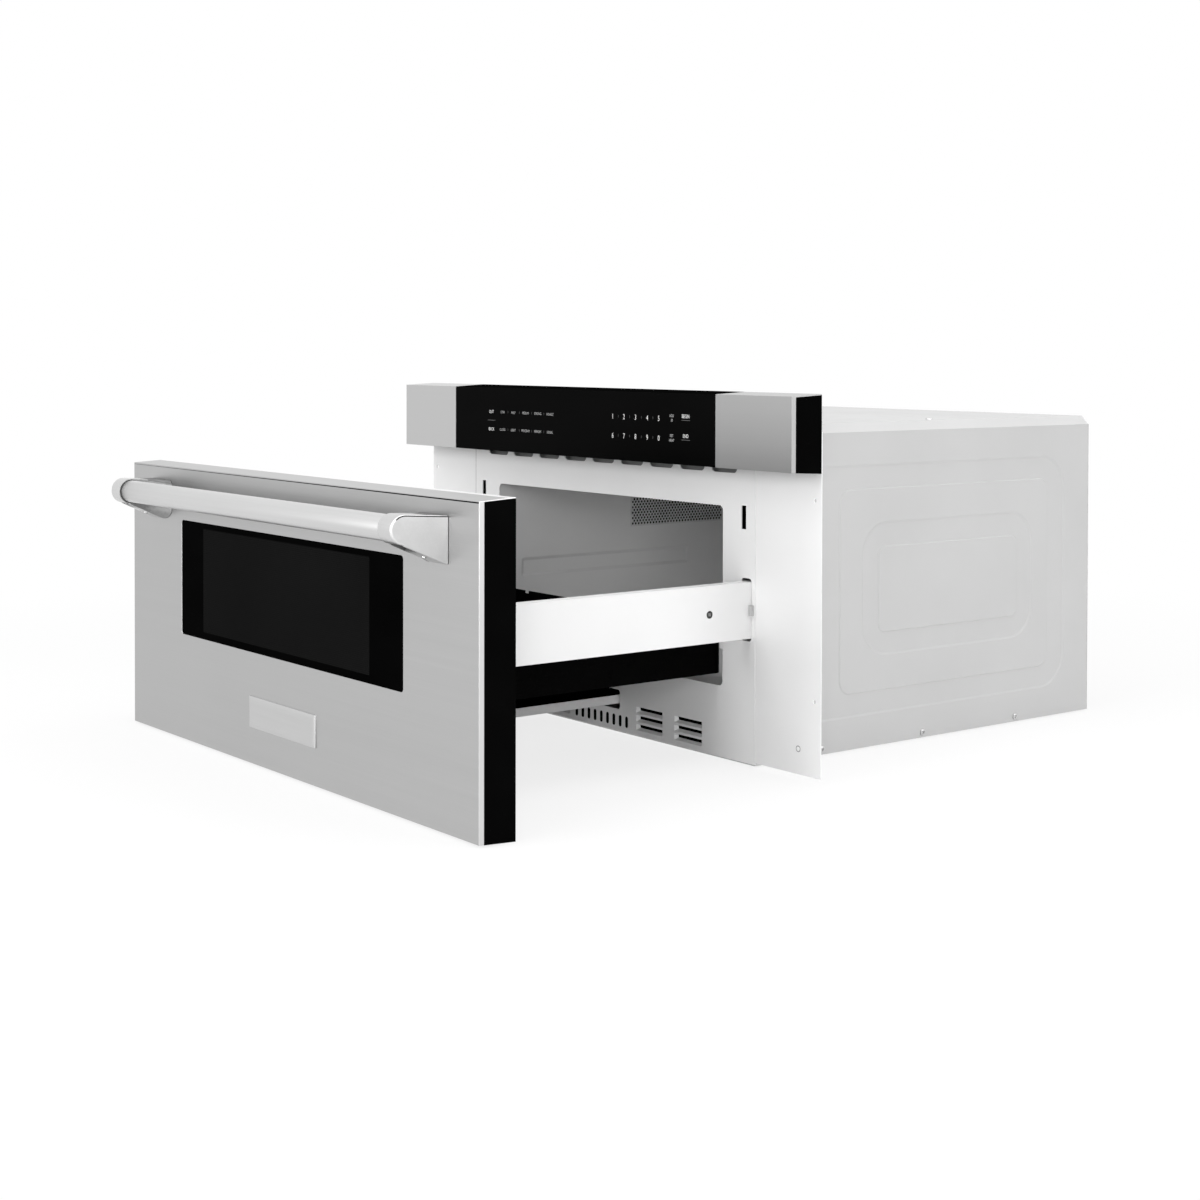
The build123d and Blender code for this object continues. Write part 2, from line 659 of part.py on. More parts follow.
# Trim flanges that close the cabinet cut-out on either side
with BuildPart() as trim_flange_right:
    block(CASE_HALF + SEAM, HALF, 0, SHEET, FLANGE_LOW, PLATE_HIGH)
    block(CASE_HALF + SEAM, CASE_HALF + SEAM + SHEET, SHEET, SHEET + PLATE_RETURN, FLANGE_LOW, PLATE_HIGH)
    for z in (INSTALL_LOW, INSTALL_HIGH):
        rod((INSTALL_X, -1, z), (0, 1, 0), INSTALL_HOLE_R, SHEET + 2, Mode.SUBTRACT)
    screw_hole(*FLANGE_RIVETS[1])
save(trim_flange_right, "trim_flange_right")

with BuildPart() as trim_flange_left:
    add(mirrored(trim_flange_right.part))
save(trim_flange_left, "trim_flange_left")

# Base plate with turned-up edges inside the wrapper
with BuildPart() as base_plate:
    block(-WRAP_IN, WRAP_IN, 0, REAR_IN, 0, SHEET)
    for side in (-1, 1):
        fold = side * (WRAP_IN - SHEET / 2)
        block(fold - SHEET / 2, fold + SHEET / 2, 2 * PLATE_RETURN, REAR_IN, SHEET, BASE_LIP)
    for seat in SIDE_SCREWS:
        screw_hole(*seat)
save(base_plate, "base_plate")

# Wrapper: top and both sides in one sheet, bevelled at the top edges, with two pressed channels a side
wrap_outer = [
    (-CASE_HALF, 0),
    (-CASE_HALF, CASE_H - BEVEL),
    (-CASE_HALF + BEVEL, CASE_H),
    (CASE_HALF - BEVEL, CASE_H),
    (CASE_HALF, CASE_H - BEVEL),
    (CASE_HALF, 0),
]
bevel_in = BEVEL - WRAP_T * tan(pi / 8)
wrap_inner = [
    (WRAP_IN, 0),
    (WRAP_IN, CASE_H - WRAP_T - bevel_in),
    (WRAP_IN - bevel_in, CASE_H - WRAP_T),
    (-WRAP_IN + bevel_in, CASE_H - WRAP_T),
    (-WRAP_IN, CASE_H - WRAP_T - bevel_in),
    (-WRAP_IN, 0),
]
WRAP_FRONT = SHEET + FIT

with BuildPart() as outer_wrapper:
    prism(facing(WRAP_FRONT), wrap_outer + wrap_inner, -(REAR_IN - WRAP_FRONT))
    for side in (-1, 1):
        for outer, inner in CHANNELS:
            pressed = ((WRAP_T, WRAP_IN, Mode.ADD), (0, CASE_HALF, Mode.SUBTRACT))
            for grow, start, mode in pressed:
                with BuildSketch(side_on(side * start)) as ring:
                    ring_sketch(outer, grow, Mode.ADD)
                    ring_sketch(inner, -grow, Mode.SUBTRACT)
                extrude(ring.sketch, amount=-side * EMBOSS_DEPTH, mode=mode)
    for seat in SIDE_SCREWS + TOP_SCREWS:
        screw_hole(*seat)
save(outer_wrapper, "outer_wrapper")

# Rear panel with the fan's intake slots and the supply cord's hole
with BuildPart() as rear_panel:
    with BuildSketch(facing(CASE_D)) as rear_outline:
        with BuildLine():
            Polyline(*wrap_outer, close=True)
        make_face()
        with Locations((FAN_X, FAN_Z)):
            with GridLocations(INTAKE_PITCH, 1, INTAKE_SLOTS, 1):
                SlotOverall(INTAKE_H, INTAKE_W, rotation=90, mode=Mode.SUBTRACT)
        with Locations((CORD_X, CORD_Z)):
            Circle(CORD_NECK_R + SEAM, mode=Mode.SUBTRACT)
    extrude(rear_outline.sketch, amount=SHEET)
    for seat in REAR_SCREWS:
        screw_hole(*seat)
save(rear_panel, "rear_panel")

# ---------------------------------------------------------------- cavity
grille_y_mid, grille_y_size = span(*GRILLE_Y)
grille_z_mid, grille_z_size = span(*GRILLE_Z)
rib_y_mid, rib_y_size = span(*RIB_Y)
rib_z_mid, rib_z_size = span(*RIB_Z)
CAVITY_OUT = OPENING_HALF + CAVITY_T

with BuildPart() as cavity_shell:
    block(-CAVITY_OUT, CAVITY_OUT, SHEET, CAVITY_DEPTH + CAVITY_T, OPENING_LOW - CAVITY_T, CEILING)
    block(-OPENING_HALF, OPENING_HALF, 0, CAVITY_DEPTH, OPENING_LOW, CAVITY_HIGH, Mode.SUBTRACT)
    for side in (-1, 1):
        wall = side_on(side * OPENING_HALF)
        rib_mid = (rib_y_mid, rib_z_mid)
        pad_size = (rib_y_size + 2 * CAVITY_T, rib_z_size + 2 * CAVITY_T)
        rounded(wall, rib_mid, pad_size, RIB_R + CAVITY_T, side * (RIB_DEPTH + CAVITY_T))
        rounded(wall, rib_mid, (rib_y_size, rib_z_size), RIB_R, side * RIB_DEPTH, Mode.SUBTRACT)
    block(-CAVITY_OUT - 1, -OPENING_HALF + 1, *GRILLE_Y, *GRILLE_Z, Mode.SUBTRACT)
    rod((0, STIRRER_Y, CAVITY_HIGH - 1), (0, 0, 1), COUPLING_R, CAVITY_T + 2, Mode.SUBTRACT)
save(cavity_shell, "cavity_shell")

# Perforated sheet let into the left wall: lamp light and air come through it
with BuildPart() as cavity_vent_grille:
    with BuildSketch(side_on(-CAVITY_OUT)) as grille_face:
        with Locations((grille_y_mid, grille_z_mid)):
            Rectangle(grille_y_size, grille_z_size)
            with GridLocations(GRILLE_PITCH_Y, GRILLE_PITCH_Z, GRILLE_COLUMNS, GRILLE_ROWS):
                Circle(GRILLE_HOLE_R, mode=Mode.SUBTRACT)
    extrude(grille_face.sketch, amount=CAVITY_T)
save(cavity_vent_grille, "cavity_vent_grille")

# Cover under the stirrer, a shallow tray screwed to the ceiling
with BuildPart() as stirrer_cover:
    y0 = STIRRER_Y - COVER_HALF
    y1 = STIRRER_Y + COVER_HALF
    block(-COVER_HALF, COVER_HALF, y0, y1, COVER_LOW, CAVITY_HIGH)
    block(
        -COVER_HALF + COVER_T, COVER_HALF - COVER_T, y0 + COVER_T, y1 - COVER_T,
        COVER_LOW + COVER_T, CAVITY_HIGH, Mode.SUBTRACT,
    )
save(stirrer_cover, "stirrer_cover")

# Rotating antenna: four paddles on a shaft that hangs from its motor
MOTOR_SEAT = CEILING + WAVEGUIDE_H
PADDLES = 4
with BuildPart() as stirrer_antenna:
    with BuildSketch(level(STIRRER_Z)) as paddles:
        with Locations((0, STIRRER_Y)):
            Circle(STIRRER_R / 3)
            with PolarLocations(STIRRER_R * 0.6, PADDLES):
                SlotOverall(STIRRER_R * 0.8, STIRRER_R * 0.4)
    extrude(paddles.sketch, amount=STIRRER_T)
    rod((0, STIRRER_Y, STIRRER_Z), (0, 0, 1), STIRRER_SHAFT_R, MOTOR_SEAT + SHAFT_SEAT - STIRRER_Z)
save(stirrer_antenna, "stirrer_antenna")

with BuildPart() as stirrer_motor:
    rod((0, STIRRER_Y, MOTOR_SEAT), (0, 0, 1), STIRRER_MOTOR_R, STIRRER_MOTOR_H)
    stand(0, STIRRER_Y, MOTOR_SEAT, (STIRRER_EAR, STIRRER_EAR_W, SHEET))
    bore = STIRRER_SHAFT_R + SHAFT_GAP
    rod((0, STIRRER_Y, MOTOR_SEAT - 1), (0, 0, 1), bore, SHAFT_SEAT + 2, Mode.SUBTRACT)
save(stirrer_motor, "stirrer_motor")

# Waveguide over the ceiling, from the magnetron to the stirrer
with BuildPart() as waveguide:
    y0 = STIRRER_Y - WAVEGUIDE_FRONT
    y1 = MAGNETRON_Y + WAVEGUIDE_END
    half = WAVEGUIDE_HALF
    block(-half, half, y0, y1, CEILING, MOTOR_SEAT)
    inside = half - SHEET
    block(-inside, inside, y0 + SHEET, y1 - SHEET, CEILING + SHEET, MOTOR_SEAT - SHEET, Mode.SUBTRACT)
    rod((0, STIRRER_Y, CEILING - 1), (0, 0, 1), COUPLING_R, SHEET + 2, Mode.SUBTRACT)
    rod((0, STIRRER_Y, MOTOR_SEAT - SHEET - 1), (0, 0, 1), 2 * STIRRER_SHAFT_R, SHEET + 2, Mode.SUBTRACT)
    rod((0, MAGNETRON_Y, CEILING - 1), (0, 0, 1), ANTENNA_R + ANTENNA_GAP, SHEET + 2, Mode.SUBTRACT)
save(waveguide, "waveguide")

# Magnetron under the waveguide's rear end: yoke, anode, cooling fins, filter box and antenna
with BuildPart() as magnetron:
    low = CEILING - MAGNETRON_H
    room = (MAGNETRON_W - 2 * YOKE_T, MAGNETRON_D + 2, MAGNETRON_H - 2 * YOKE_T)
    stand(0, MAGNETRON_Y, low, (MAGNETRON_W, MAGNETRON_D, MAGNETRON_H))
    stand(0, MAGNETRON_Y, low + YOKE_T, room, Mode.SUBTRACT)
    rod((0, MAGNETRON_Y, low + YOKE_T / 2), (0, 0, 1), ANODE_R, MAGNETRON_H - YOKE_T)
    for fin in range(FINS):
        z = low + (fin + 1) * MAGNETRON_H / (FINS + 1)
        stand(0, MAGNETRON_Y, z, (MAGNETRON_W - YOKE_T, MAGNETRON_D - 2 * FIN_EDGE, FIN_T))
    rod((0, MAGNETRON_Y, CEILING - YOKE_T / 2), (0, 0, 1), ANTENNA_R, ANTENNA_H)
    stand(0, MAGNETRON_Y, low - FILTER_BOX[2], FILTER_BOX)
save(magnetron, "magnetron")

# Lamp behind the grille, in its own box outside the cavity wall
LAMP_BACK = LAMP_SIDE - CASE_HALF
LAMP_Y = grille_y_mid + LAMP_BEHIND
with BuildPart() as lamp_housing:
    y0 = LAMP_Y - LAMP_BOX_D / 2
    y1 = LAMP_Y + LAMP_BOX_D / 2
    z0, z1 = GRILLE_Z
    block(LAMP_BACK, -CAVITY_OUT, y0, y1, z0, z1)
    block(LAMP_BACK + SHEET, -CAVITY_OUT, y0 + SHEET, y1 - SHEET, z0 + SHEET, z1 - SHEET, Mode.SUBTRACT)
save(lamp_housing, "lamp_housing")

with BuildPart() as cavity_lamp:
    seat = LAMP_BACK + SHEET
    neck = seat + LAMP_SOCKET_LEN
    bulb = -CAVITY_OUT - BULB_GAP - LAMP_SOCKET_R
    rod((seat, LAMP_Y, grille_z_mid), (1, 0, 0), LAMP_SOCKET_R, LAMP_SOCKET_LEN)
    rod((neck, LAMP_Y, grille_z_mid), (1, 0, 0), LAMP_BASE_R, bulb - neck)
    with Locations((bulb, LAMP_Y, grille_z_mid)):
        Sphere(LAMP_SOCKET_R)
save(cavity_lamp, "cavity_lamp")

# Exhaust duct from over the cavity to the vents in the front plate
with BuildPart() as exhaust_duct:
    half = CASE_HALF - DUCT_SIDE
    z0 = CEILING + DUCT_OVER
    z1 = CASE_H - DUCT_UNDER
    block(-half, half, SHEET, DUCT_BACK, z0, z1)
    block(-half + SHEET, half - SHEET, SHEET, DUCT_BACK, z0 + SHEET, z1 - SHEET, Mode.SUBTRACT)
save(exhaust_duct, "exhaust_duct")

# ---------------------------------------------------------------- power parts and cooling
with BuildPart() as high_voltage_transformer:
    x, y = TRANSFORMER_AT
    core_z = SHEET + CORE_FOOT[2]
    window_z = core_z + CORE_YOKE
    stand(x, y, SHEET, CORE_FOOT)
    stand(x, y, core_z, CORE)
    for side in (-1, 1):
        room = (CORE_WINDOW_W, CORE[1], CORE[2] - 2 * CORE_YOKE)
        stand(x + side * (CORE_LEG + CORE_WINDOW_W) / 2, y, window_z, room, Mode.SUBTRACT)
    for coil in range(2):
        stand(x, y, window_z + 2 + coil * COIL_STEP, (COIL_W, COIL_D, COIL_H))
save(high_voltage_transformer, "high_voltage_transformer")

with BuildPart() as high_voltage_capacitor:
    x, y = CAPACITOR_AT
    with BuildSketch(level(SHEET)) as can:
        with Locations(CAPACITOR_AT):
            SlotOverall(CAPACITOR_LEN, CAPACITOR_W)
    extrude(can.sketch, amount=CAPACITOR_H)
    for side in (-1, 1):
        stand(x + side * TERMINAL_PITCH / 2, y, SHEET + CAPACITOR_H, TERMINAL)
save(high_voltage_capacitor, "high_voltage_capacitor")

FAN_FRONT = REAR_IN - FAN_DEPTH
FAN_MIDDLE = REAR_IN - FAN_DEPTH / 2
with BuildPart() as fan_shroud:
    half = FAN_SIZE / 2
    block(FAN_X - half, FAN_X + half, FAN_FRONT, REAR_IN, FAN_Z - half, FAN_Z + half)
    rod((FAN_X, FAN_FRONT - 1, FAN_Z), (0, 1, 0), FAN_BORE_R, FAN_DEPTH + 2, Mode.SUBTRACT)
    reach = FAN_BORE_R + 1
    arm = FAN_ARM_W / 2
    block(FAN_X - arm, FAN_X + arm, FAN_FRONT, FAN_FRONT + FAN_ARM_T, FAN_Z - reach, FAN_Z + reach)
    block(FAN_X - reach, FAN_X + reach, FAN_FRONT, FAN_FRONT + FAN_ARM_T, FAN_Z - arm, FAN_Z + arm)
    rod((FAN_X, FAN_FRONT, FAN_Z), (0, 1, 0), FAN_MOTOR_R + FAN_ARM_T, FAN_ARM_T)
    rod((FAN_X, FAN_FRONT - 1, FAN_Z), (0, 1, 0), FAN_MOTOR_R, FAN_ARM_T + 2, Mode.SUBTRACT)
save(fan_shroud, "fan_shroud")

with BuildPart() as fan_motor:
    motor_back = FAN_FRONT + FAN_ARM_T
    rod((FAN_X, motor_back, FAN_Z), (0, -1, 0), FAN_MOTOR_R, FAN_MOTOR_LEN)
    rod((FAN_X, motor_back + 1, FAN_Z), (0, -1, 0), FAN_SHAFT_R + SHAFT_GAP, SHAFT_SEAT + 2, Mode.SUBTRACT)
save(fan_motor, "fan_motor")

fan_plane = Plane(origin=(FAN_X, FAN_MIDDLE, FAN_Z), x_dir=(1, 0, 0), z_dir=(0, 1, 0))
with BuildPart(fan_plane) as fan_impeller:
    Cylinder(FAN_HUB_R, FAN_HUB_H)
    blade = FAN_TIP_R - FAN_HUB_R + BLADE_T
    with PolarLocations(FAN_TIP_R - blade / 2, FAN_BLADES):
        Box(blade, BLADE_T, BLADE_CHORD, rotation=(BLADE_TWIST, 0, 0))
    shaft_len = FAN_MIDDLE - motor_back + SHAFT_SEAT
    with Locations((0, 0, -shaft_len)):
        Cylinder(FAN_SHAFT_R, shaft_len, align=(Align.CENTER, Align.CENTER, Align.MIN))
save(fan_impeller, "fan_impeller")

with BuildPart() as noise_filter_board:
    board_y = REAR_IN - FILTER_POST
    x0 = FILTER_X - FILTER_W / 2
    x1 = FILTER_X + FILTER_W / 2
    z0 = FILTER_Z - FILTER_H / 2
    z1 = FILTER_Z + FILTER_H / 2
    block(x0, x1, board_y - BOARD_T, board_y, z0, z1)
    for x in (x0 + FILTER_POST_IN, x1 - FILTER_POST_IN):
        for z in (z0 + FILTER_POST_IN, z1 - FILTER_POST_IN):
            rod((x, board_y, z), (0, 1, 0), FILTER_POST_R, FILTER_POST)
    rod((FILTER_X + CHOKE_COIL_X, board_y - BOARD_T, FILTER_Z), (0, -1, 0), CHOKE_COIL_R, CHOKE_COIL_H)
    can_y = board_y - BOARD_T - FILTER_CAN[1] / 2
    stand(FILTER_X + FILTER_CAN_X, can_y, FILTER_Z - FILTER_CAN[2] / 2, FILTER_CAN)
save(noise_filter_board, "noise_filter_board")

# Gland of the supply cord: a flanged bush through the rear panel
with BuildPart() as cord_gland:
    rod((CORD_X, CASE_D, CORD_Z), (0, 1, 0), GLAND_FLANGE_R, GLAND_FLANGE_T)
    rod((CORD_X, CASE_D + 1, CORD_Z), (0, -1, 0), CORD_NECK_R, CORD_NECK_LEN)
    rod((CORD_X, REAR_IN - CORD_NECK_LEN, CORD_Z), (0, 1, 0), CORD_BORE_R, 2 * CORD_NECK_LEN, Mode.SUBTRACT)
save(cord_gland, "cord_gland")

# ---------------------------------------------------------------- control panel
with BuildPart() as panel_cap_right:
    steel_shell(GLASS_HALF + SEAM, HALF, PANEL_FACE - CAP_PROUD, 0, PANEL_LOW, PANEL_HIGH, False, True)
save(panel_cap_right, "panel_cap_right")

with BuildPart() as panel_cap_left:
    add(mirrored(panel_cap_right.part))
save(panel_cap_left, "panel_cap_left")

panel_seat = PANEL_FACE + GLASS_T           # the glass lies on the housing here
with BuildPart() as control_housing:
    prism(side_on(-HALF), front_outline(PANEL_FACE, 0, PANEL_LOW, PANEL_HIGH), FRONT_W)
    wide = GLASS_HALF + SEAM
    low_end = PANEL_LOW - 2 * FLARE
    high_end = PANEL_HIGH + 2 * FLARE
    block(-wide, wide, PANEL_FACE - 1, panel_seat, low_end, high_end, Mode.SUBTRACT)
    for x0, x1 in ((-HALF - 1, -wide), (wide, HALF + 1)):
        block(x0, x1, PANEL_FACE - 1, PANEL_FACE - CAP_PROUD + SKIN_T, low_end, high_end, Mode.SUBTRACT)
    add(panel_cap_left.part, mode=Mode.SUBTRACT)
    add(panel_cap_right.part, mode=Mode.SUBTRACT)
    low_in = PANEL_LOW + PANEL_RIM
    high_in = PANEL_HIGH - PANEL_RIM
    rooms = ((-HALF + PANEL_RIM, -wide), (-wide + PANEL_RIM, wide - PANEL_RIM), (wide, HALF - PANEL_RIM))
    for x0, x1 in rooms:
        block(x0, x1, PANEL_FACE - 1, -PANEL_WALL, low_in, high_in, Mode.SUBTRACT)
save(control_housing, "control_housing")

with BuildPart() as control_glass:
    block(-GLASS_HALF, GLASS_HALF, PANEL_FACE, panel_seat, PANEL_LOW + SEAM, PANEL_HIGH - SEAM)
save(control_glass, "control_glass")

with BuildPart() as control_board:
    board_front = panel_seat + BOARD_SINK
    board_back = board_front + BOARD_T
    z0 = PANEL_LOW + BOARD_EDGE
    z1 = PANEL_HIGH - BOARD_EDGE
    block(-BOARD_HALF, BOARD_HALF, board_front, board_back, z0, z1)
    for x in (BOARD_POST_END - BOARD_HALF, 0, BOARD_HALF - BOARD_POST_END):
        for z in (z0 + BOARD_POST_IN, z1 - BOARD_POST_IN):
            rod((x, -PANEL_WALL, z), (0, -1, 0), BOARD_POST_R, -PANEL_WALL - board_back)
    for x in CHIP_X:
        stand(x, board_back + CHIP[1] / 2, (z0 + z1 - CHIP[2]) / 2, CHIP)
save(control_board, "control_board")

# ---------------------------------------------------------------- interlock
with BuildPart() as switch_right:
    z0 = SWITCH_LOW - SWITCH_EDGE / 2
    z1 = SWITCH_HIGH + SWITCH_EDGE
    block(SWITCH_WALL, SWITCH_WALL + SHEET, SHEET, SWITCH_BACK, z0, z1)
    block(LATCH_X - SWITCH_IN, SWITCH_WALL, SWITCH_FRONT, SWITCH_BACK, SWITCH_LOW, SWITCH_HIGH)
    hole = LEVER_R + SHAFT_GAP
    rod((SWITCH_WALL - 1, LEVER_Y, LEVER_Z), (1, 0, 0), hole, SHEET + 2, Mode.SUBTRACT)

with BuildPart() as interlock_switches:
    add(switch_right.part)
    add(mirrored(switch_right.part))
save(interlock_switches, "interlock_switches")

with BuildPart() as interlock_lever_right:
    pin_start = LATCH_X - LEVER_HALF
    rod((pin_start, LEVER_Y, LEVER_Z), (1, 0, 0), LEVER_R, SWITCH_WALL + SHEET - pin_start)
    stand(LATCH_X, LEVER_Y, LEVER_Z - LEVER_LEN, (2 * LEVER_HALF, LEVER_T, LEVER_LEN))
save(interlock_lever_right, "interlock_lever_right")

with BuildPart() as interlock_lever_left:
    add(mirrored(interlock_lever_right.part))
save(interlock_lever_left, "interlock_lever_left")

# Hooks on the back of the drawer front that reach through the latch slots when it is shut
with BuildPart() as hook_right:
    tip = BACK + HOOK_LEN
    barb = tip - 2 * HOOK_BARB
    underside = LATCH_Z - HOOK_DOWN
    hook = [
        (BACK, underside),
        (barb, underside),
        (barb, underside - HOOK_BARB),
        (barb + HOOK_BARB, underside - HOOK_BARB),
        (tip, underside),
        (tip, LATCH_Z + HOOK_UP - HOOK_BARB),
        (BACK, LATCH_Z + HOOK_UP),
    ]
    prism(side_on(LATCH_X - HOOK_HALF), hook, 2 * HOOK_HALF)
    plate_w, plate_h = HOOK_PLATE
    stand(LATCH_X, BACK + SHEET / 2, LATCH_Z - plate_h / 2, (plate_w, SHEET, plate_h))

with BuildPart() as latch_hooks:
    add(hook_right.part)
    add(mirrored(hook_right.part))
save(latch_hooks, "latch_hooks")

# ---------------------------------------------------------------- drawer front
window_mid, window_h = span(WINDOW_LOW, WINDOW_HIGH)
GLASS_BACK = FACE + WINDOW_SINK + WINDOW_T
CHOKE_HALF = OPENING_HALF + CHOKE_SIDE
CHOKE_LOW = OPENING_LOW - CHOKE_OVER
CHOKE_HIGH = OPENING_HIGH + CHOKE_OVER

with BuildPart() as drawer_skin:
    steel_shell(-HALF, HALF, FACE, BACK, FRONT_LOW, FRONT_HIGH, True, True)
    cut_size = (2 * WINDOW_HALF, window_h)
    rounded(facing(FACE - 1), (0, window_mid), cut_size, WINDOW_R, -(SKIN_T + 2), Mode.SUBTRACT)
save(drawer_skin, "drawer_skin")

with BuildPart() as drawer_frame:
    prism(side_on(-HALF), front_outline(FACE, BACK, FRONT_LOW, FRONT_HIGH), FRONT_W)
    block(-HALF - 1, HALF + 1, FACE - 1, FACE + SKIN_T, FRONT_LOW - 5, FRONT_HIGH + 5, Mode.SUBTRACT)
    add(drawer_skin.part, mode=Mode.SUBTRACT)
    inner_back = BACK - BACK_WALL
    seat = FACE + SKIN_T
    bed = WINDOW_HALF + WINDOW_BED
    block(-HALF + RIM, HALF - RIM, FACE, inner_back, FRONT_LOW + RIM, FRONT_HIGH - RIM, Mode.SUBTRACT)
    block(-bed, bed, seat, GLASS_BACK + WINDOW_BED, WINDOW_LOW - WINDOW_BED, WINDOW_HIGH + WINDOW_BED)
    glass_room = (2 * WINDOW_HALF, window_h)
    rounded(facing(FACE), (0, window_mid), glass_room, WINDOW_R, FACE - GLASS_BACK, Mode.SUBTRACT)
    tunnel = SIGHT_HALF + WINDOW_BED
    block(-tunnel, tunnel, GLASS_BACK, inner_back, SIGHT_LOW - WINDOW_BED, SIGHT_HIGH + WINDOW_BED)
    for side in (-1, 1):
        rib_x = side * (HALF - RIM + bed) / 2
        for z in (FRONT_LOW + RIB_INSET, FRONT_HIGH - RIB_INSET):
            stand(rib_x, (seat + inner_back) / 2, z, (HALF - RIM - bed, inner_back - seat, RIB_T))
        # room for the guide block when the drawer is shut
        pocket = (GUIDE_W + 2 * POCKET_GAP, 2 * GUIDE_OUT, GUIDE_H + 2 * POCKET_GAP)
        stand(side * GUIDE_X, BACK, RAIL_Z - pocket[2] / 2, pocket, Mode.SUBTRACT)
    block(-SIGHT_HALF, SIGHT_HALF, FACE, BACK + 1, SIGHT_LOW, SIGHT_HIGH, Mode.SUBTRACT)
    block(-CHOKE_HALF, CHOKE_HALF, BACK - CHOKE_T, BACK + 1, CHOKE_LOW, CHOKE_HIGH, Mode.SUBTRACT)
save(drawer_frame, "drawer_frame")

with BuildPart() as window_glass:
    pane = (2 * (WINDOW_HALF - SEAM), window_h - 2 * SEAM)
    rounded(facing(FACE + WINDOW_SINK), (0, window_mid), pane, WINDOW_R, -WINDOW_T)
save(window_glass, "window_glass")

with BuildPart() as window_screen:
    screen_back = BACK - CHOKE_T
    block(-SIGHT_HALF, SIGHT_HALF, screen_back - SCREEN_T, screen_back, SIGHT_LOW, SIGHT_HIGH)
save(window_screen, "window_screen")

with BuildPart() as choke_cover:
    block(-CHOKE_HALF, CHOKE_HALF, BACK - CHOKE_T, BACK, CHOKE_LOW, CHOKE_HIGH)
    block(-SIGHT_HALF, SIGHT_HALF, BACK - CHOKE_T - 1, BACK + 1, SIGHT_LOW, SIGHT_HIGH, Mode.SUBTRACT)
save(choke_cover, "choke_cover")

with BuildPart() as badge_plate:
    with BuildSketch(facing(FACE)) as badge_outline:
        with Locations((0, BADGE_LOW + BADGE_H / 2)):
            Rectangle(BADGE_W, BADGE_H)
    extrude(badge_outline.sketch, amount=BADGE_T)
    chamfer(badge_plate.faces().sort_by(Axis.Y)[0].edges(), BADGE_CHAMFER)
save(badge_plate, "badge_plate")

# ---------------------------------------------------------------- handle
with BuildPart() as handle_bar:
    rod((-BAR_HALF, BAR_Y, BAR_Z), (1, 0, 0), BAR_R, 2 * BAR_HALF)
    chamfer(handle_bar.edges().filter_by(GeomType.CIRCLE), BAR_EDGE)
    spigot = BRACKET_IN + SOCKET_DEPTH - 1
    rod((-spigot, BAR_Y, BAR_Z), (1, 0, 0), SOCKET_R, 2 * spigot)
save(handle_bar, "handle_bar")

nose_drop = BAR_Z - BRACKET_FOOT_LOW
reach = sqrt(BAR_STANDOFF**2 + nose_drop**2)
# the lower edge leaves the nose on its tangent and runs to the foot's bottom corner
tangent_angle = acos(BRACKET_NOSE_R / reach)
corner_angle = acos(BAR_STANDOFF / reach)
touch = -(corner_angle + tangent_angle)
nose_low = (BAR_Y + BRACKET_NOSE_R * cos(touch), BAR_Z + BRACKET_NOSE_R * sin(touch))
nose_high = (BAR_Y, BAR_Z + BRACKET_NOSE_R)
nose_front = (BAR_Y - BRACKET_NOSE_R, BAR_Z)

with BuildPart() as handle_bracket_right:
    with BuildSketch(side_on(BRACKET_FOOT_IN)) as horn:
        with BuildLine():
            ThreePointArc(nose_high, nose_front, nose_low)
            Line(nose_low, (FACE, BRACKET_FOOT_LOW))
            Line((FACE, BRACKET_FOOT_LOW), (FACE, BRACKET_FOOT_HIGH))
            Line((FACE, BRACKET_FOOT_HIGH), nose_high)
        make_face()
    extrude(horn.sketch, amount=BRACKET_OUT - BRACKET_FOOT_IN)
    # seen from above, the inner side sweeps out from the bar to the wide foot
    flare_start = (BRACKET_IN, BAR_Y + BRACKET_NOSE_R)
    bulge = (BRACKET_IN - BRACKET_HOLLOW, FACE - BRACKET_HOLLOW_Y)
    flare_end = (BRACKET_FOOT_IN, FACE)
    tip = (BRACKET_TIP_OUT, BAR_Y - BRACKET_NOSE_R)
    front = BAR_Y - 2 * BRACKET_NOSE_R
    with BuildSketch(level(BRACKET_FOOT_LOW - BRACKET_NOSE_R)) as sweep_out:
        with BuildLine():
            ThreePointArc(flare_start, bulge, flare_end)
            Polyline(flare_end, (BRACKET_OUT, FACE), tip, (tip[0], front), (BRACKET_IN, front), flare_start)
        make_face()
    extrude(sweep_out.sketch, amount=3 * BRACKET_NOSE_R + nose_drop, mode=Mode.INTERSECT)
    # the foot's lower inner corner is cut away at a slant
    corner_cut = [
        (BRACKET_FOOT_IN, BRACKET_FOOT_LOW),
        (BRACKET_FOOT_IN + CORNER_W, BRACKET_FOOT_LOW),
        (BRACKET_FOOT_IN, BRACKET_FOOT_LOW + CORNER_H),
    ]
    prism(facing(FACE), corner_cut, BAR_STANDOFF, Mode.SUBTRACT)
    rod((BRACKET_IN - 1, BAR_Y, BAR_Z), (1, 0, 0), SOCKET_R + SHAFT_GAP, SOCKET_DEPTH + 1, Mode.SUBTRACT)
    screw_at = ((BRACKET_IN + BRACKET_OUT) / 2, FACE - SET_SCREW_Y, BRACKET_FOOT_LOW - 1)
    screw_room = SET_SCREW_SINK + SET_SCREW_LEN + 2
    rod(screw_at, (0, 0, 1), SET_SCREW_R + SHAFT_GAP, screw_room, Mode.SUBTRACT)
save(handle_bracket_right, "handle_bracket_right")

with BuildPart() as handle_bracket_left:
    add(mirrored(handle_bracket_right.part))
save(handle_bracket_left, "handle_bracket_left")

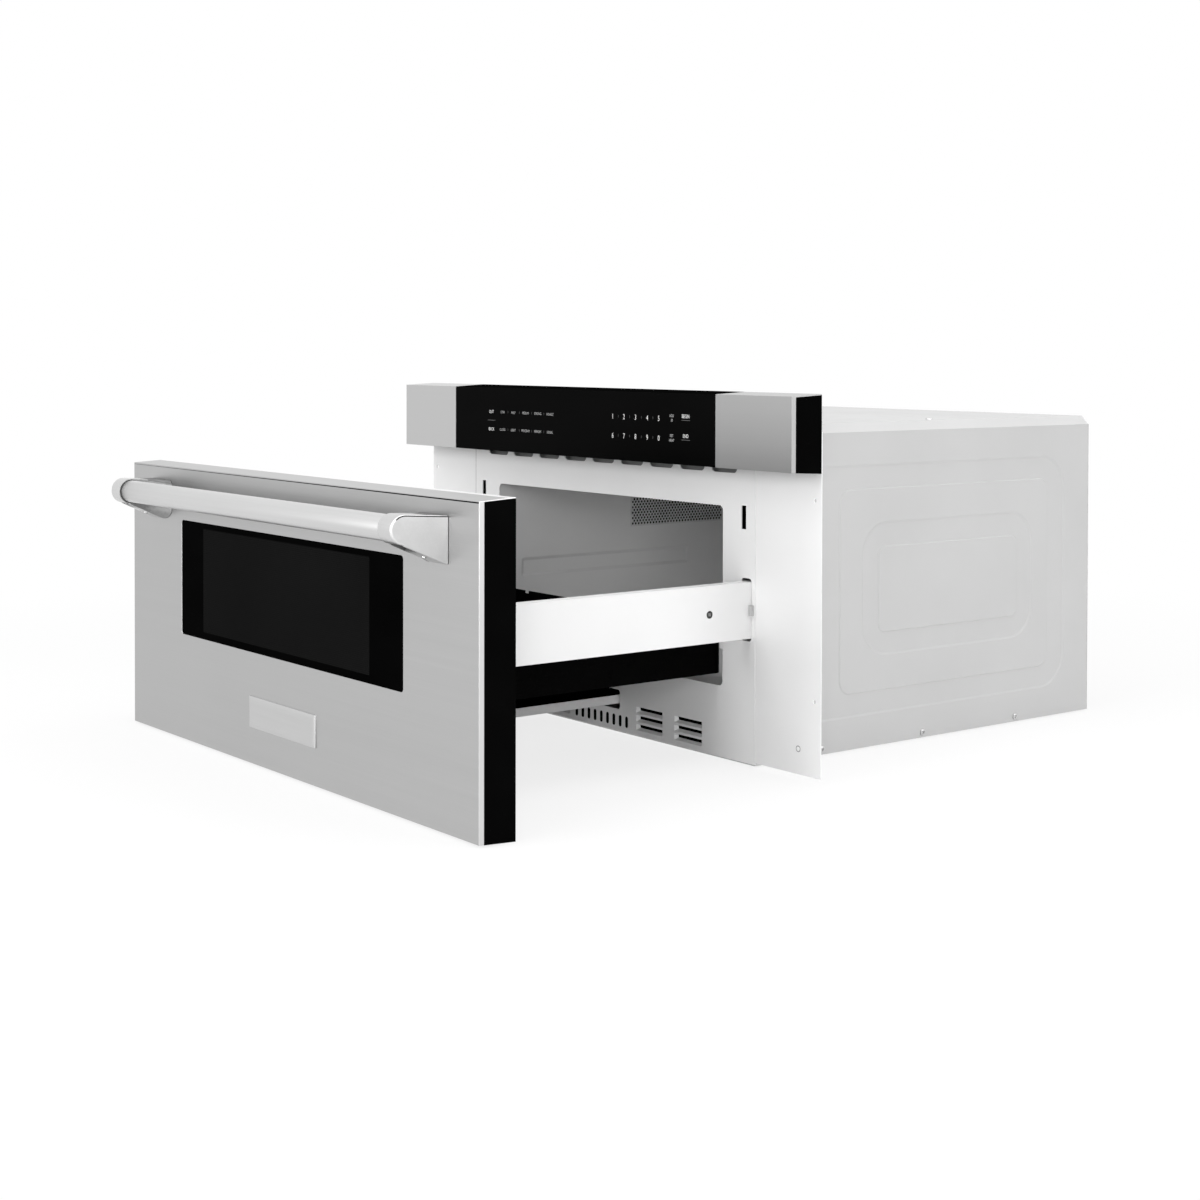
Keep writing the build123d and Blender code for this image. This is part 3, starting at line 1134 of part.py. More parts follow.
# ---------------------------------------------------------------- pan and tray
pan_y_mid, pan_y_size = span(BACK, PAN_BACK)
with BuildPart() as drawer_pan:
    rounded(level(PAN_LOW), (0, pan_y_mid), (2 * PAN_HALF, pan_y_size), PAN_R, PAN_HIGH - PAN_LOW)
    inside = (2 * (PAN_HALF - PAN_T), pan_y_size - 2 * PAN_T)
    rounded(level(PAN_LOW + PAN_T), (0, pan_y_mid), inside, PAN_R - PAN_T, PAN_HIGH - PAN_LOW, Mode.SUBTRACT)
    for side in (-1, 1):
        notch = (PAN_NOTCH_W, 2 * PAN_T + 1, 2 * PAN_NOTCH_H)
        stand(side * PAN_NOTCH_X, PAN_BACK, PAN_HIGH - PAN_NOTCH_H, notch, Mode.SUBTRACT)
save(drawer_pan, "drawer_pan")

with BuildPart() as glass_tray:
    gap = PAN_T + TRAY_GAP
    size = (2 * (PAN_HALF - gap), pan_y_size - 2 * gap)
    rounded(level(PAN_LOW + PAN_T), (0, pan_y_mid), size, PAN_R - gap, TRAY_T)
    well = (size[0] - 2 * TRAY_RIM, size[1] - 2 * TRAY_RIM)
    well_z = PAN_LOW + PAN_T + TRAY_T - TRAY_SINK
    rounded(level(well_z), (0, pan_y_mid), well, TRAY_WELL_R, TRAY_SINK + 1, Mode.SUBTRACT)
save(glass_tray, "glass_tray")

# ---------------------------------------------------------------- slides
inner_half = INNER_H / 2
middle_half = inner_half + SLIDE_GAP + SLIDE_T
outer_half = middle_half + SLIDE_GAP + SLIDE_T
cover_web = RAIL_OUT - SLIDE_T              # inner face of the white cover's web
outer_web = RAIL_SLOT[0] - RAIL_SLOT_OUT    # the fixed member's web, behind the edge of the slot
middle_web = outer_web + SLIDE_T + SLIDE_GAP
open_start = SLIDE_START - TRAVEL
RAIL_SCREW = (RAIL_OUT, RAIL_SCREW_Y, RAIL_SCREW_Z)     # its head is sunk flush into the cover
RAIL_SCREW_SEAT = (cover_web, RAIL_SCREW_Y, RAIL_SCREW_Z)
middle_lips = cover_web - SLIDE_T - 2 * SLIDE_GAP
inner_lips = middle_web + SLIDE_T + 2 * SLIDE_GAP
outer_lips = middle_lips - SLIDE_T - 2 * SLIDE_GAP

with BuildPart() as rail_cover_right:
    channel(RAIL_OUT, RAIL_IN, RAIL_H / 2, SLIDE_T, BACK, PAN_BACK)
    block(RAIL_IN, RAIL_OUT, BACK, BACK + SLIDE_T, RAIL_Z - RAIL_H / 2, RAIL_Z + RAIL_H / 2)
    wide = SCREW_HEAD_R + SHAFT_GAP
    cone(RAIL_SCREW, (-1, 0, 0), wide, wide - SLIDE_T, SLIDE_T, Mode.SUBTRACT)
save(rail_cover_right, "rail_cover_right")

with BuildPart() as slide_inner_right:
    channel(cover_web, inner_lips, inner_half, SLIDE_T, open_start, open_start + SLIDE_LEN)
    screw_hole(RAIL_SCREW_SEAT, (1, 0, 0))
save(slide_inner_right, "slide_inner_right")

with BuildPart() as slide_middle_right:
    start = SLIDE_START - TRAVEL / 2
    channel(middle_web, middle_lips, middle_half, SLIDE_T, start, start + SLIDE_LEN)
save(slide_middle_right, "slide_middle_right")

with BuildPart() as slide_outer_right:
    channel(outer_web, outer_lips, outer_half, SLIDE_T, SLIDE_START, SLIDE_START + SLIDE_LEN)
save(slide_outer_right, "slide_outer_right")

# Carriers that hold the fixed members to the cavity's side walls
with BuildPart() as support_right:
    s0 = SLIDE_START
    s1 = SLIDE_START + SLIDE_LEN
    z0 = RAIL_Z - outer_half - CARRIER_EDGE
    z1 = RAIL_Z + outer_half + CARRIER_EDGE
    block(outer_web - SHEET, outer_web, s0, s1, z0, z1)
    for y in (s0, (s0 + s1) / 2, s1 - SHEET):
        block(CAVITY_OUT, outer_web, y, y + SHEET, z1 - TAB_H, z1)
        block(CAVITY_OUT, CAVITY_OUT + SHEET, y, y + TAB_W, z1 - TAB_H, z1)

with BuildPart() as slide_supports:
    add(support_right.part)
    add(mirrored(support_right.part))
save(slide_supports, "slide_supports")

for right, name in (
    (rail_cover_right, "rail_cover_left"),
    (slide_inner_right, "slide_inner_left"),
    (slide_middle_right, "slide_middle_left"),
    (slide_outer_right, "slide_outer_left"),
):
    with BuildPart() as twin:
        add(mirrored(right.part))
    save(twin, name)

# Nylon blocks on the front plate that the covers run past
with BuildPart() as guide_blocks:
    for side in (-1, 1):
        stand(side * GUIDE_X, -GUIDE_OUT / 2, RAIL_Z - GUIDE_H / 2, (GUIDE_W, GUIDE_OUT, GUIDE_H))
save(guide_blocks, "guide_blocks")

# ---------------------------------------------------------------- rack drive
with BuildPart() as drive_rail:
    block(-DRIVE_HALF, DRIVE_HALF, BACK, DRIVE_BACK, DRIVE_LOW, DRIVE_HIGH)
    inside_half = DRIVE_HALF - DRIVE_T
    block(-inside_half, inside_half, BACK, DRIVE_BACK, DRIVE_LOW + DRIVE_T, DRIVE_HIGH, Mode.SUBTRACT)
    foot = DRIVE_HALF + DRIVE_FOOT_W
    block(-foot, foot, BACK, BACK + SHEET, DRIVE_LOW, DRIVE_HIGH + DRIVE_FOOT_H)
save(drive_rail, "drive_rail")

# Rack: a tooth gap stands right under the pinion
tooth_half = (PITCH - BACKLASH) / 4
tip_half = tooth_half - ADDENDUM * tan(PRESSURE_ANGLE)
root_half = tooth_half + DEDENDUM * tan(PRESSURE_ANGLE)
rack_start = BACK + DRIVE_T + RACK_INSET
rack_end = DRIVE_BACK - RACK_INSET
rack_root = PITCH_LINE - DEDENDUM
first_tooth = int((rack_start + root_half - PINION_Y) / PITCH) - 0.5
rack_teeth = int((rack_end - root_half - PINION_Y) / PITCH - first_tooth) + 1
rack_profile = [(rack_start, DRIVE_LOW + DRIVE_T), (rack_start, rack_root)]
for tooth in range(rack_teeth):
    y = PINION_Y + (first_tooth + tooth) * PITCH
    if y - root_half <= rack_start or y + root_half >= rack_end:
        continue
    rack_profile += [
        (y - root_half, rack_root), (y - tip_half, DRIVE_HIGH),
        (y + tip_half, DRIVE_HIGH), (y + root_half, rack_root),
    ]
rack_profile += [(rack_end, rack_root), (rack_end, DRIVE_LOW + DRIVE_T)]

with BuildPart() as drive_rack:
    prism(side_on(-RACK_STRIP_HALF), rack_profile, 2 * RACK_STRIP_HALF)
    rack_half = DRIVE_HALF - DRIVE_T
    shoulder = RACK_STRIP_HALF + RACK_GROOVE
    low = DRIVE_LOW + DRIVE_T
    block(-rack_half, rack_half, rack_start, rack_end, low, rack_root)
    block(-rack_half, -shoulder, rack_start, rack_end, low, DRIVE_HIGH)
    block(shoulder, rack_half, rack_start, rack_end, low, DRIVE_HIGH)
save(drive_rack, "drive_rack")


def involute(alpha):
    """The involute function."""
    return tan(alpha) - alpha


# Pinion with involute teeth, one of them pointing straight down into the rack
BASE_R = PITCH_R * cos(PRESSURE_ANGLE)
TIP_R = PITCH_R + ADDENDUM
ROOT_R = PITCH_R - DEDENDUM
FLANK_STEPS = 4
half_angle = tooth_half / PITCH_R
flank = [(ROOT_R, half_angle + involute(PRESSURE_ANGLE))]
for step in range(FLANK_STEPS + 1):
    r = BASE_R + (TIP_R - BASE_R) * step / FLANK_STEPS
    flank.append((r, half_angle + involute(PRESSURE_ANGLE) - involute(acos(BASE_R / r))))
gear_points = []
for tooth in range(PINION_TEETH):
    middle = -pi / 2 + tooth * 2 * pi / PINION_TEETH
    for r, a in flank:
        gear_points.append((PINION_Y + r * cos(middle - a), PINION_Z + r * sin(middle - a)))
    for r, a in reversed(flank):
        gear_points.append((PINION_Y + r * cos(middle + a), PINION_Z + r * sin(middle + a)))

POST_OUT = POST_X + POST_T
with BuildPart() as drive_pinion:
    prism(side_on(-PINION_HALF), gear_points, 2 * PINION_HALF)
    rod((-POST_OUT, PINION_Y, PINION_Z), (1, 0, 0), SHAFT_R, 2 * POST_OUT + SHAFT_SEAT)
save(drive_pinion, "drive_pinion")

with BuildPart() as pinion_bracket:
    foot_w = 2 * (POST_OUT + POST_FOOT)
    stand(0, PINION_Y, SHEET, (foot_w, 2 * POST_HALF, POST_T))
    for side in (-1, 1):
        stand(side * (POST_X + POST_T / 2), PINION_Y, SHEET, (POST_T, 2 * POST_HALF, POST_HIGH - SHEET))
    rod((-POST_OUT - 1, PINION_Y, PINION_Z), (1, 0, 0), SHAFT_R + SHAFT_GAP, 2 * POST_OUT + 2, Mode.SUBTRACT)
save(pinion_bracket, "pinion_bracket")

with BuildPart() as gear_motor:
    y0 = PINION_Y - GEARBOX_FRONT
    y1 = PINION_Y + GEARBOX_BACK
    z0 = PINION_Z - GEARBOX_HALF_H
    z1 = PINION_Z + GEARBOX_HALF_H
    block(POST_OUT, POST_OUT + GEARBOX_W, y0, y1, z0, z1)
    rod((POST_OUT + GEARBOX_W / 2, y1, PINION_Z), (0, 1, 0), DRIVE_MOTOR_R, DRIVE_MOTOR_LEN)
    rod((POST_OUT - 1, PINION_Y, PINION_Z), (1, 0, 0), SHAFT_R + SHAFT_GAP, SHAFT_SEAT + 2, Mode.SUBTRACT)
save(gear_motor, "gear_motor")

# ---------------------------------------------------------------- fasteners
with BuildPart() as case_screws:
    for seat in SIDE_SCREWS + TOP_SCREWS + REAR_SCREWS:
        screw(*seat)
    for seat in FLANGE_RIVETS:
        screw(*seat, RIVET_HEAD_H, SHEET)
save(case_screws, "case_screws")

with BuildPart() as screws_right:
    cone(RAIL_SCREW, (-1, 0, 0), SCREW_HEAD_R, SCREW_HEAD_R - SLIDE_T, SLIDE_T)
    rod(RAIL_SCREW_SEAT, (-1, 0, 0), SCREW_R, SCREW_LEN)
    rod((screw_at[0], screw_at[1], BRACKET_FOOT_LOW + SET_SCREW_SINK), (0, 0, 1), SET_SCREW_R, SET_SCREW_LEN)

with BuildPart() as drawer_screws:
    add(screws_right.part)
    add(mirrored(screws_right.part))
save(drawer_screws, "drawer_screws")
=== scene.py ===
"""Looks of the built-in microwave drawer: camera, studio, materials, and the pieces finer than the solids.

Metres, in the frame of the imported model: +X to the right, +Y to the back, +Z up. Sizes are written in
millimetres and multiplied by MM.
"""
import json
from math import acos, atan2, cos, hypot, pi, radians, sin, sqrt

import bmesh
import bpy
from mathutils import Matrix, Vector

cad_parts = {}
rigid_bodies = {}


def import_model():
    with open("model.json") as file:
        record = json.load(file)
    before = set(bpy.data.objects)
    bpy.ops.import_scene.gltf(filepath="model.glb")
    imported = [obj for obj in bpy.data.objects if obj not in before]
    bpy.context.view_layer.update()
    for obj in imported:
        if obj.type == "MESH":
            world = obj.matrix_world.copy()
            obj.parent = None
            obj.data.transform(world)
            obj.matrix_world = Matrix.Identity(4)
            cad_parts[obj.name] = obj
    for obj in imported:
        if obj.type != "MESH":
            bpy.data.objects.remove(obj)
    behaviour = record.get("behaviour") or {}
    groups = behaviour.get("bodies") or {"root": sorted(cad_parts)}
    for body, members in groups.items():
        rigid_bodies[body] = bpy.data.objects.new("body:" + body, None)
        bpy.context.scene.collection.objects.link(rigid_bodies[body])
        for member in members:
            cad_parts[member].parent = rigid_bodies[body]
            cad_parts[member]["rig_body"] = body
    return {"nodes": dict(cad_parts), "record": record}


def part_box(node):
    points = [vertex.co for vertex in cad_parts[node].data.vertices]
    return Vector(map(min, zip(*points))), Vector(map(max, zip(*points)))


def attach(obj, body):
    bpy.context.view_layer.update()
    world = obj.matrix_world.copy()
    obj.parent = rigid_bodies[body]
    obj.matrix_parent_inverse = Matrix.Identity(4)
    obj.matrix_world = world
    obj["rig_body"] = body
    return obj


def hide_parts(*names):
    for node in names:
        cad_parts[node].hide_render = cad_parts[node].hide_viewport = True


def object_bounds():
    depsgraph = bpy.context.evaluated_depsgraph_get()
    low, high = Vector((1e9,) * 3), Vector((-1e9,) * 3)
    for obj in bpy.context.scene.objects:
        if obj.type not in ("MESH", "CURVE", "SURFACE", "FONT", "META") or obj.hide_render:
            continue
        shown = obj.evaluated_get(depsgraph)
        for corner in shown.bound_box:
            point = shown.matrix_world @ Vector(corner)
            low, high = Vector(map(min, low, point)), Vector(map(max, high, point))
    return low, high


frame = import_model()
cad_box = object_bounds()
MM = 0.001

# ------------------------ camera
PHOTO_PX = 1200
FOCAL_PX = 1951.2
CENTRE_PX = (614.1, 382.5)  # where the lens looks in the photograph's frame
SENSOR = 36.0
EYE = Vector((1.8734, -1.4333, 0.4604))
YAW = 0.91212  # from +Y, to the left
PITCH = -0.01776
ROLL = 0.0022
FAR_CLIP = 50.0


def make_camera():
    """The camera that took the photograph."""
    look = Vector((-sin(YAW) * cos(PITCH), cos(YAW) * cos(PITCH), sin(PITCH)))
    level_right = Vector((cos(YAW), sin(YAW), 0))
    level_up = level_right.cross(look)
    right = level_right * cos(ROLL) + level_up * sin(ROLL)
    up = right.cross(look)
    data = bpy.data.cameras.new("camera")
    data.sensor_width = SENSOR
    data.lens = SENSOR * FOCAL_PX / PHOTO_PX
    data.shift_x = 0.5 - CENTRE_PX[0] / PHOTO_PX
    data.shift_y = CENTRE_PX[1] / PHOTO_PX - 0.5
    data.clip_end = FAR_CLIP
    camera = bpy.data.objects.new("camera", data)
    bpy.context.collection.objects.link(camera)
    turn = Matrix((right, up, -look)).transposed()
    camera.matrix_world = Matrix.Translation(EYE) @ turn.to_4x4()
    bpy.context.scene.camera = camera


make_camera()

# ------------------------ materials
SOCKETS = {
    "color": "Base Color",
    "metal": "Metallic",
    "rough": "Roughness",
    "specular": "Specular IOR Level",
    "coat": "Coat Weight",
    "coat_rough": "Coat Roughness",
    "ior": "IOR",
    "clear": "Transmission Weight",
    "normal": "Normal",
}
MIX_LOW, MIX_HIGH, MIX_OUT = 6, 7, 2        # colour sockets of a Mix node
BLACK_BOUND = 0.04045  # below this an sRGB value is linear
PLAIN = (1, 1, 1)  # no tint


def grey(value, tint=PLAIN):
    """A linear colour from an sRGB level of 0 to 255, with a slight tint."""
    level = value / 255
    linear = level / 12.92 if level <= BLACK_BOUND else ((level + 0.055) / 1.055) ** 2.4
    return (linear * tint[0], linear * tint[1], linear * tint[2], 1)


def add_node(tree, kind, inputs, output=0, **settings):
    """An output of a new shader node. inputs holds the number, colour or socket for each of its inputs."""
    node = tree.nodes.new("ShaderNode" + kind)
    for key, value in settings.items():
        setattr(node, key, value)
    for key, value in inputs.items():
        if isinstance(value, bpy.types.NodeSocket):
            tree.links.new(value, node.inputs[key])
        else:
            node.inputs[key].default_value = value
    return node.outputs[output]


class Paint:
    """A Principled material, with short calls for the nodes that vary it over the surface."""

    def __init__(self, name, **settings):
        self.material = bpy.data.materials.new(name)
        self.material.use_nodes = True
        self.tree = self.material.node_tree
        self.shader = self.tree.nodes["Principled BSDF"]
        self.place = add_node(self.tree, "TexCoord", {}, "Object")
        for key, value in settings.items():
            self.shader.inputs[SOCKETS[key]].default_value = value

    def noise(self, scale, detail=2, rough=0.5):
        """Noise whose grains are 1/scale long along each axis, in metres."""
        scales = scale if isinstance(scale, tuple) else (scale,) * 3
        spot = add_node(self.tree, "Mapping", {"Vector": self.place, "Scale": scales})
        inputs = {"Vector": spot, "Scale": 1, "Detail": detail, "Roughness": rough}
        return add_node(self.tree, "TexNoise", inputs, "Fac")

    def cells(self, scale, output, random=1):
        """Cells of about 1/scale metres."""
        inputs = {"Vector": self.place, "Scale": scale, "Randomness": random}
        return add_node(self.tree, "TexVoronoi", inputs, output)

    def spread(self, value, low, high, start=0.3, end=0.7):
        """value, from start to end, turned into low to high."""
        inputs = {"Value": value, "From Min": start, "From Max": end, "To Min": low, "To Max": high}
        return add_node(self.tree, "MapRange", inputs, "Result")

    def axis(self, letter):
        """Distance along one of the object's axes, in metres."""
        return add_node(self.tree, "SeparateXYZ", {"Vector": self.place}, letter)

    def math(self, kind, a, b):
        return add_node(self.tree, "Math", {0: a, 1: b}, operation=kind)

    def blend(self, value, low, high):
        """A colour between low and high."""
        inputs = {"Factor": value, MIX_LOW: low, MIX_HIGH: high}
        return add_node(self.tree, "Mix", inputs, MIX_OUT, data_type="RGBA")

    def feed(self, key, source):
        """Links a socket to one of the shader's inputs."""
        self.tree.links.new(source, self.shader.inputs[SOCKETS[key]])

    def shades(self, value, low, high, tint=PLAIN, start=0.3, end=0.7):
        """The surface's colour: value, from start to end, turned into two levels of grey."""
        face = self.blend(self.spread(value, 0, 1, start, end), grey(low, tint), grey(high, tint))
        self.feed("color", face)
        return face

    def roughness(self, value, low, high, start=0.3, end=0.7):
        self.feed("rough", self.spread(value, low, high, start, end))

    def bump(self, source, depth):
        """A relief of that depth, in metres."""
        self.feed("normal", add_node(self.tree, "Bump", {"Height": source, "Distance": depth}, "Normal"))


HAIR_SHARES = (0.45, 0.25, 0.3)  # of fine lines, broad lines and clouds in brushed steel
HAIR_DEPTH = 4e-6
PEEL_DEPTH = 12e-6  # orange peel of paint and enamel
SPARK_DEPTH = 15e-6  # grain of moulded plastic
SPANGLE_DEPTH = 10e-6
TRACK_DEPTH = 20e-6  # of a board's copper
SMEAR = (9, 9, 22)  # scale of the smears on glass


def brushed(name, level, rough, grain=(3, 60, 900), contrast=5, sheen=0.02, fold=None):
    """Brushed steel: fine hairlines along the direction in which grain is smallest, and soft clouds.

    fold holds (half width, top, level at the sides, level on the top) of a sheet whose folded sides and top
    carry painted light: they are coloured brighter than its face, as they catch more light."""
    paint = Paint(name, metal=1.0, rough=rough)
    hair = paint.noise(grain, detail=3, rough=0.65)
    wide = paint.noise(tuple(g / 5 for g in grain))
    cloud = paint.noise(5)
    parts = [paint.math("MULTIPLY", part, share) for part, share in zip((hair, wide, cloud), HAIR_SHARES)]
    mix = paint.math("ADD", paint.math("ADD", parts[0], parts[1]), parts[2])
    face = paint.shades(mix, level - contrast, level + contrast)
    if fold:
        half, top, side_light, top_light = fold
        beside = paint.math("GREATER_THAN", paint.math("ABSOLUTE", paint.axis("X"), 0), half)
        above = paint.math("GREATER_THAN", paint.axis("Z"), top)
        sides = paint.blend(beside, face, grey(side_light))
        paint.feed("color", paint.blend(above, sides, grey(top_light)))
    paint.roughness(wide, rough - sheen, rough + sheen)
    paint.bump(hair, HAIR_DEPTH)
    return paint.material


def coated(name, level, rough=0.4, specular=0.4):
    """Painted sheet: orange peel in the gloss and a faint unevenness in the colour."""
    paint = Paint(name, rough=rough, specular=specular)
    paint.shades(paint.noise(7, detail=3), level - 2, level + 2)
    paint.roughness(paint.noise(60), rough - 0.04, rough + 0.04)
    paint.bump(paint.noise(700, detail=1), PEEL_DEPTH)
    return paint.material


def galvanised(name, level, rough):
    """Zinc-coated sheet with its pale spangle."""
    paint = Paint(name, metal=0.85, rough=rough)
    spangle = add_node(paint.tree, "SeparateColor", {"Color": paint.cells(160, "Color")}, "Red")
    paint.feed("color", paint.blend(spangle, grey(level - 9), grey(level + 9)))
    paint.roughness(spangle, rough - 0.07, rough + 0.07, 0, 1)
    paint.bump(paint.noise(90), SPANGLE_DEPTH)
    return paint.material


def moulded(name, level, rough=0.5, tint=PLAIN, specular=0.3):
    """Moulded plastic with a fine spark-eroded grain."""
    paint = Paint(name, rough=rough, specular=specular)
    step = max(1.5, level * 0.03)
    paint.shades(paint.noise(12), max(level - step, 1), level + step, tint)
    paint.roughness(paint.noise(80), rough - 0.06, rough + 0.06)
    paint.bump(paint.noise(900, detail=1), SPARK_DEPTH)
    return paint.material


def black_glass(name, level, gloss):
    """Black glass that was coated against glare, with faint smears in the gloss."""
    paint = Paint(name, rough=0.3, specular=0.0, coat=gloss, coat_rough=0.25)
    smear = paint.noise(SMEAR, detail=4)
    paint.shades(smear, level, level + 2)
    paint.roughness(smear, 0.25, 0.4)
    return paint.material


def metal(name, level, rough, tint=PLAIN, grain=(120, 120, 120), depth=8e-6):
    """Plain metal with fine scratches."""
    paint = Paint(name, metal=1.0, rough=rough)
    scratch = paint.noise(grain, detail=4, rough=0.7)
    paint.shades(scratch, level - 8, level + 8, tint)
    paint.roughness(paint.noise(50), rough - 0.06, rough + 0.08)
    paint.bump(scratch, depth)
    return paint.material


def clear_glass(name, tint):
    """Clear or tinted glass with faint smears."""
    paint = Paint(name, color=tint, clear=1.0, rough=0.02, ior=1.45)
    paint.roughness(paint.noise(SMEAR, detail=3), 0.02, 0.06)
    return paint.material


def window_tint(name, level, gloss):
    """Tinted glass with the dot pattern of the screen showing faintly through it."""
    paint = Paint(name, rough=0.3, specular=0.0, coat=gloss, coat_rough=0.04)
    dots = paint.spread(paint.cells(480, "Distance", random=0), 0, 1, 0.3, 0.45)
    screen = paint.shades(paint.noise((4, 4, 6), detail=1), level - 3, level + 3)
    paint.feed("color", paint.blend(dots, grey(level - 8), screen))
    return paint.material


def enamel(name, level):
    """Vitreous enamel with the speckle of its ground coat."""
    paint = Paint(name, rough=0.3, specular=0.01)
    paint.shades(paint.noise(1100, detail=0), level, level + 9, start=0.68, end=0.72)
    paint.roughness(paint.noise(40), 0.26, 0.36)
    paint.bump(paint.noise(160, detail=1), PEEL_DEPTH)
    return paint.material


def circuit_board(name):
    """Green board with a lighter pattern of tracks under the lacquer."""
    paint = Paint(name, rough=0.35, specular=0.4)
    inputs = {"Vector": paint.place, "Scale": 120, "Mortar Size": 0.05}
    tracks = add_node(paint.tree, "TexBrick", inputs, "Fac")
    paint.feed("color", paint.blend(tracks, (0.012, 0.09, 0.035, 1), (0.03, 0.17, 0.07, 1)))
    paint.bump(tracks, TRACK_DEPTH)
    return paint.material


FOLD_LINE = 0.4 * MM  # the skin's folded edges start this far in
SKIN_LOW, SKIN_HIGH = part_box("drawer_skin")
# painted light on the skin's folded sides and top: lighter levels than its face
LIT_FOLDS = (SKIN_HIGH.x - FOLD_LINE, SKIN_HIGH.z - FOLD_LINE, 208, 240)
HANDLE_STEEL = brushed("handle_steel", 206, 0.34, grain=(4, 500, 500), contrast=4)
# brighter, rougher steel for the brackets' rounded edges: a painted highlight along their rim
EDGE_HIGHLIGHT_STEEL = brushed("edge_highlight_steel", 212, 0.55, grain=(40, 500, 500), contrast=3)
BADGE_STEEL = brushed("badge_steel", 194, 0.32, grain=(8, 900, 900), contrast=4)
# darker steel: painted shade on the brackets' inner sides and round the rivets' feet
SHADED_STEEL = metal("shaded_steel", 150, 0.55, grain=(300, 300, 300))
# painted shade in the right bracket's underside recess
POCKET_SHADE_STEEL = metal("pocket_shade_steel", 120, 0.6)
# painted shade on the top of each bracket's foot, near the steel
FOOT_SHADE_STEEL = metal("foot_shade_steel", 112, 0.6)
SCREW_STEEL = metal("screw_steel", 200, 0.3)
WHITE_COAT = coated("white_coat", 240)
CASE_COAT = coated("case_coat", 194, rough=0.45, specular=0.2)
RAIL_COAT = coated("rail_coat", 235)
# a little darker than the cavity's coat: painted shade on the press slopes
SLOPE_SHADE_COAT = coated("slope_shade_coat", 229, rough=0.38)
GRILLE_COAT = coated("grille_coat", 222, rough=0.38)
# grey for painted shade inside the exhaust duct
BAFFLE_SHADE_COAT = coated("baffle_shade_coat", 150, rough=0.6, specular=0.1)
BLACK_FRAME = moulded("black_frame", 7, rough=0.5, specular=0.0)
BLACK_PLASTIC = moulded("black_plastic", 16, rough=0.5, specular=0.12)
# black for painted shade: in seams, behind the grille and behind the openings of the front plate
SHADE_BLACK = moulded("painted_shade_black", 3, rough=0.9, specular=0.0)
JOINT_SHADE = moulded("joint_shade", 74, rough=0.6, specular=0.05)
PRINT = moulded("white_print", 232, rough=0.6)
SOFT_PRINT = moulded("soft_print", 172, rough=0.6)
DIM_PRINT = moulded("grey_print", 96, rough=0.6)
PANEL_GLASS = black_glass("panel_glass", 4, gloss=0.05)
WINDOW_BORDER = black_glass("window_border", 1, gloss=0.015)
WINDOW_TINT = window_tint("window_tint", 18, gloss=0.02)

SLOT_FINISHES = {
    "brushed_front": brushed("brushed_steel", 177, 0.36, contrast=3, fold=LIT_FOLDS),
    "handle_steel": HANDLE_STEEL,
    "badge_metal": BADGE_STEEL,
    "white_coat": WHITE_COAT,
    "cavity_coat": coated("cavity_coat", 237, rough=0.38),
    "zinc_sheet": galvanised("zinc_sheet", 185, 0.42),
    "slide_steel": metal("slide_steel", 190, 0.42, grain=(300, 6, 300), depth=1e-6),
    # near white as painted light, so that the drive bar stays bright in the shade under the drawer
    "drive_steel": coated("drive_painted_light_coat", 250, rough=0.5, specular=0.2),
    "black_frame": BLACK_FRAME,
    "panel_glass": PANEL_GLASS,
    "window_glass": PANEL_GLASS,
    "window_mesh": BLACK_FRAME,
    "pan_enamel": enamel("pan_enamel", 3),
    "tray_glass": clear_glass("tray_glass", (0.86, 0.93, 0.9, 1)),
    "white_nylon": moulded("white_nylon", 225, rough=0.45, tint=(1, 0.99, 0.95)),
    "black_moulding": BLACK_PLASTIC,
    "green_board": circuit_board("green_board"),
    "motor_case": metal("motor_case", 170, 0.4),
    "core_iron": metal("core_iron", 110, 0.5, tint=(1, 0.96, 0.92), grain=(60, 60, 1200)),
    "bare_aluminium": metal("bare_aluminium", 215, 0.35),
    "lamp_glass": clear_glass("lamp_glass", (1, 0.95, 0.85, 1)),
    "screw_steel": SCREW_STEEL,
}
NODE_FINISHES = {  # nodes that look unlike the others of their slot
    # the two caps are the same steel: the left one is coloured lighter as painted light, the right one
    # darker as painted shade
    "panel_cap_left": brushed("left_cap_painted_light", 189, 0.36, contrast=1, sheen=0.005),
    "panel_cap_right": brushed("right_cap_painted_shade", 173, 0.36, contrast=1, sheen=0.005),
    "outer_wrapper": CASE_COAT,
    "rail_cover_left": RAIL_COAT,
    "rail_cover_right": RAIL_COAT,
    "guide_blocks": moulded("grey_nylon", 186),
    # black instead of their white nylon: painted shade in the latch slots
    "interlock_lever_left": BLACK_PLASTIC,
    "interlock_lever_right": BLACK_PLASTIC,
    # the rack's own black, made darker as painted shade from the pan above
    "drive_rack": BLACK_FRAME,
}
SLOTS = {part["node"]: part["material_slot"] for part in frame["record"]["subparts"]}

for node_name, slot_name in SLOTS.items():
    for place in frame["nodes"][node_name].material_slots:
        place.material = NODE_FINISHES.get(node_name, SLOT_FINISHES[slot_name])

# ------------------------ mesh helpers
SHARP = radians(35)
SOFT_SHARP = radians(50)
FLAT_TURN = radians(1)  # faces that turn less than this are one
EDGE_TURN = radians(40)  # edges that turn more than this are rounded
WELD = 0.001 * MM  # points of a solid nearer than this are one
MERGE = 0.01 * MM  # and so are points of a sheet nearer than this
LAYER = 0.03 * MM  # thin print and seams stand this much proud of what carries them


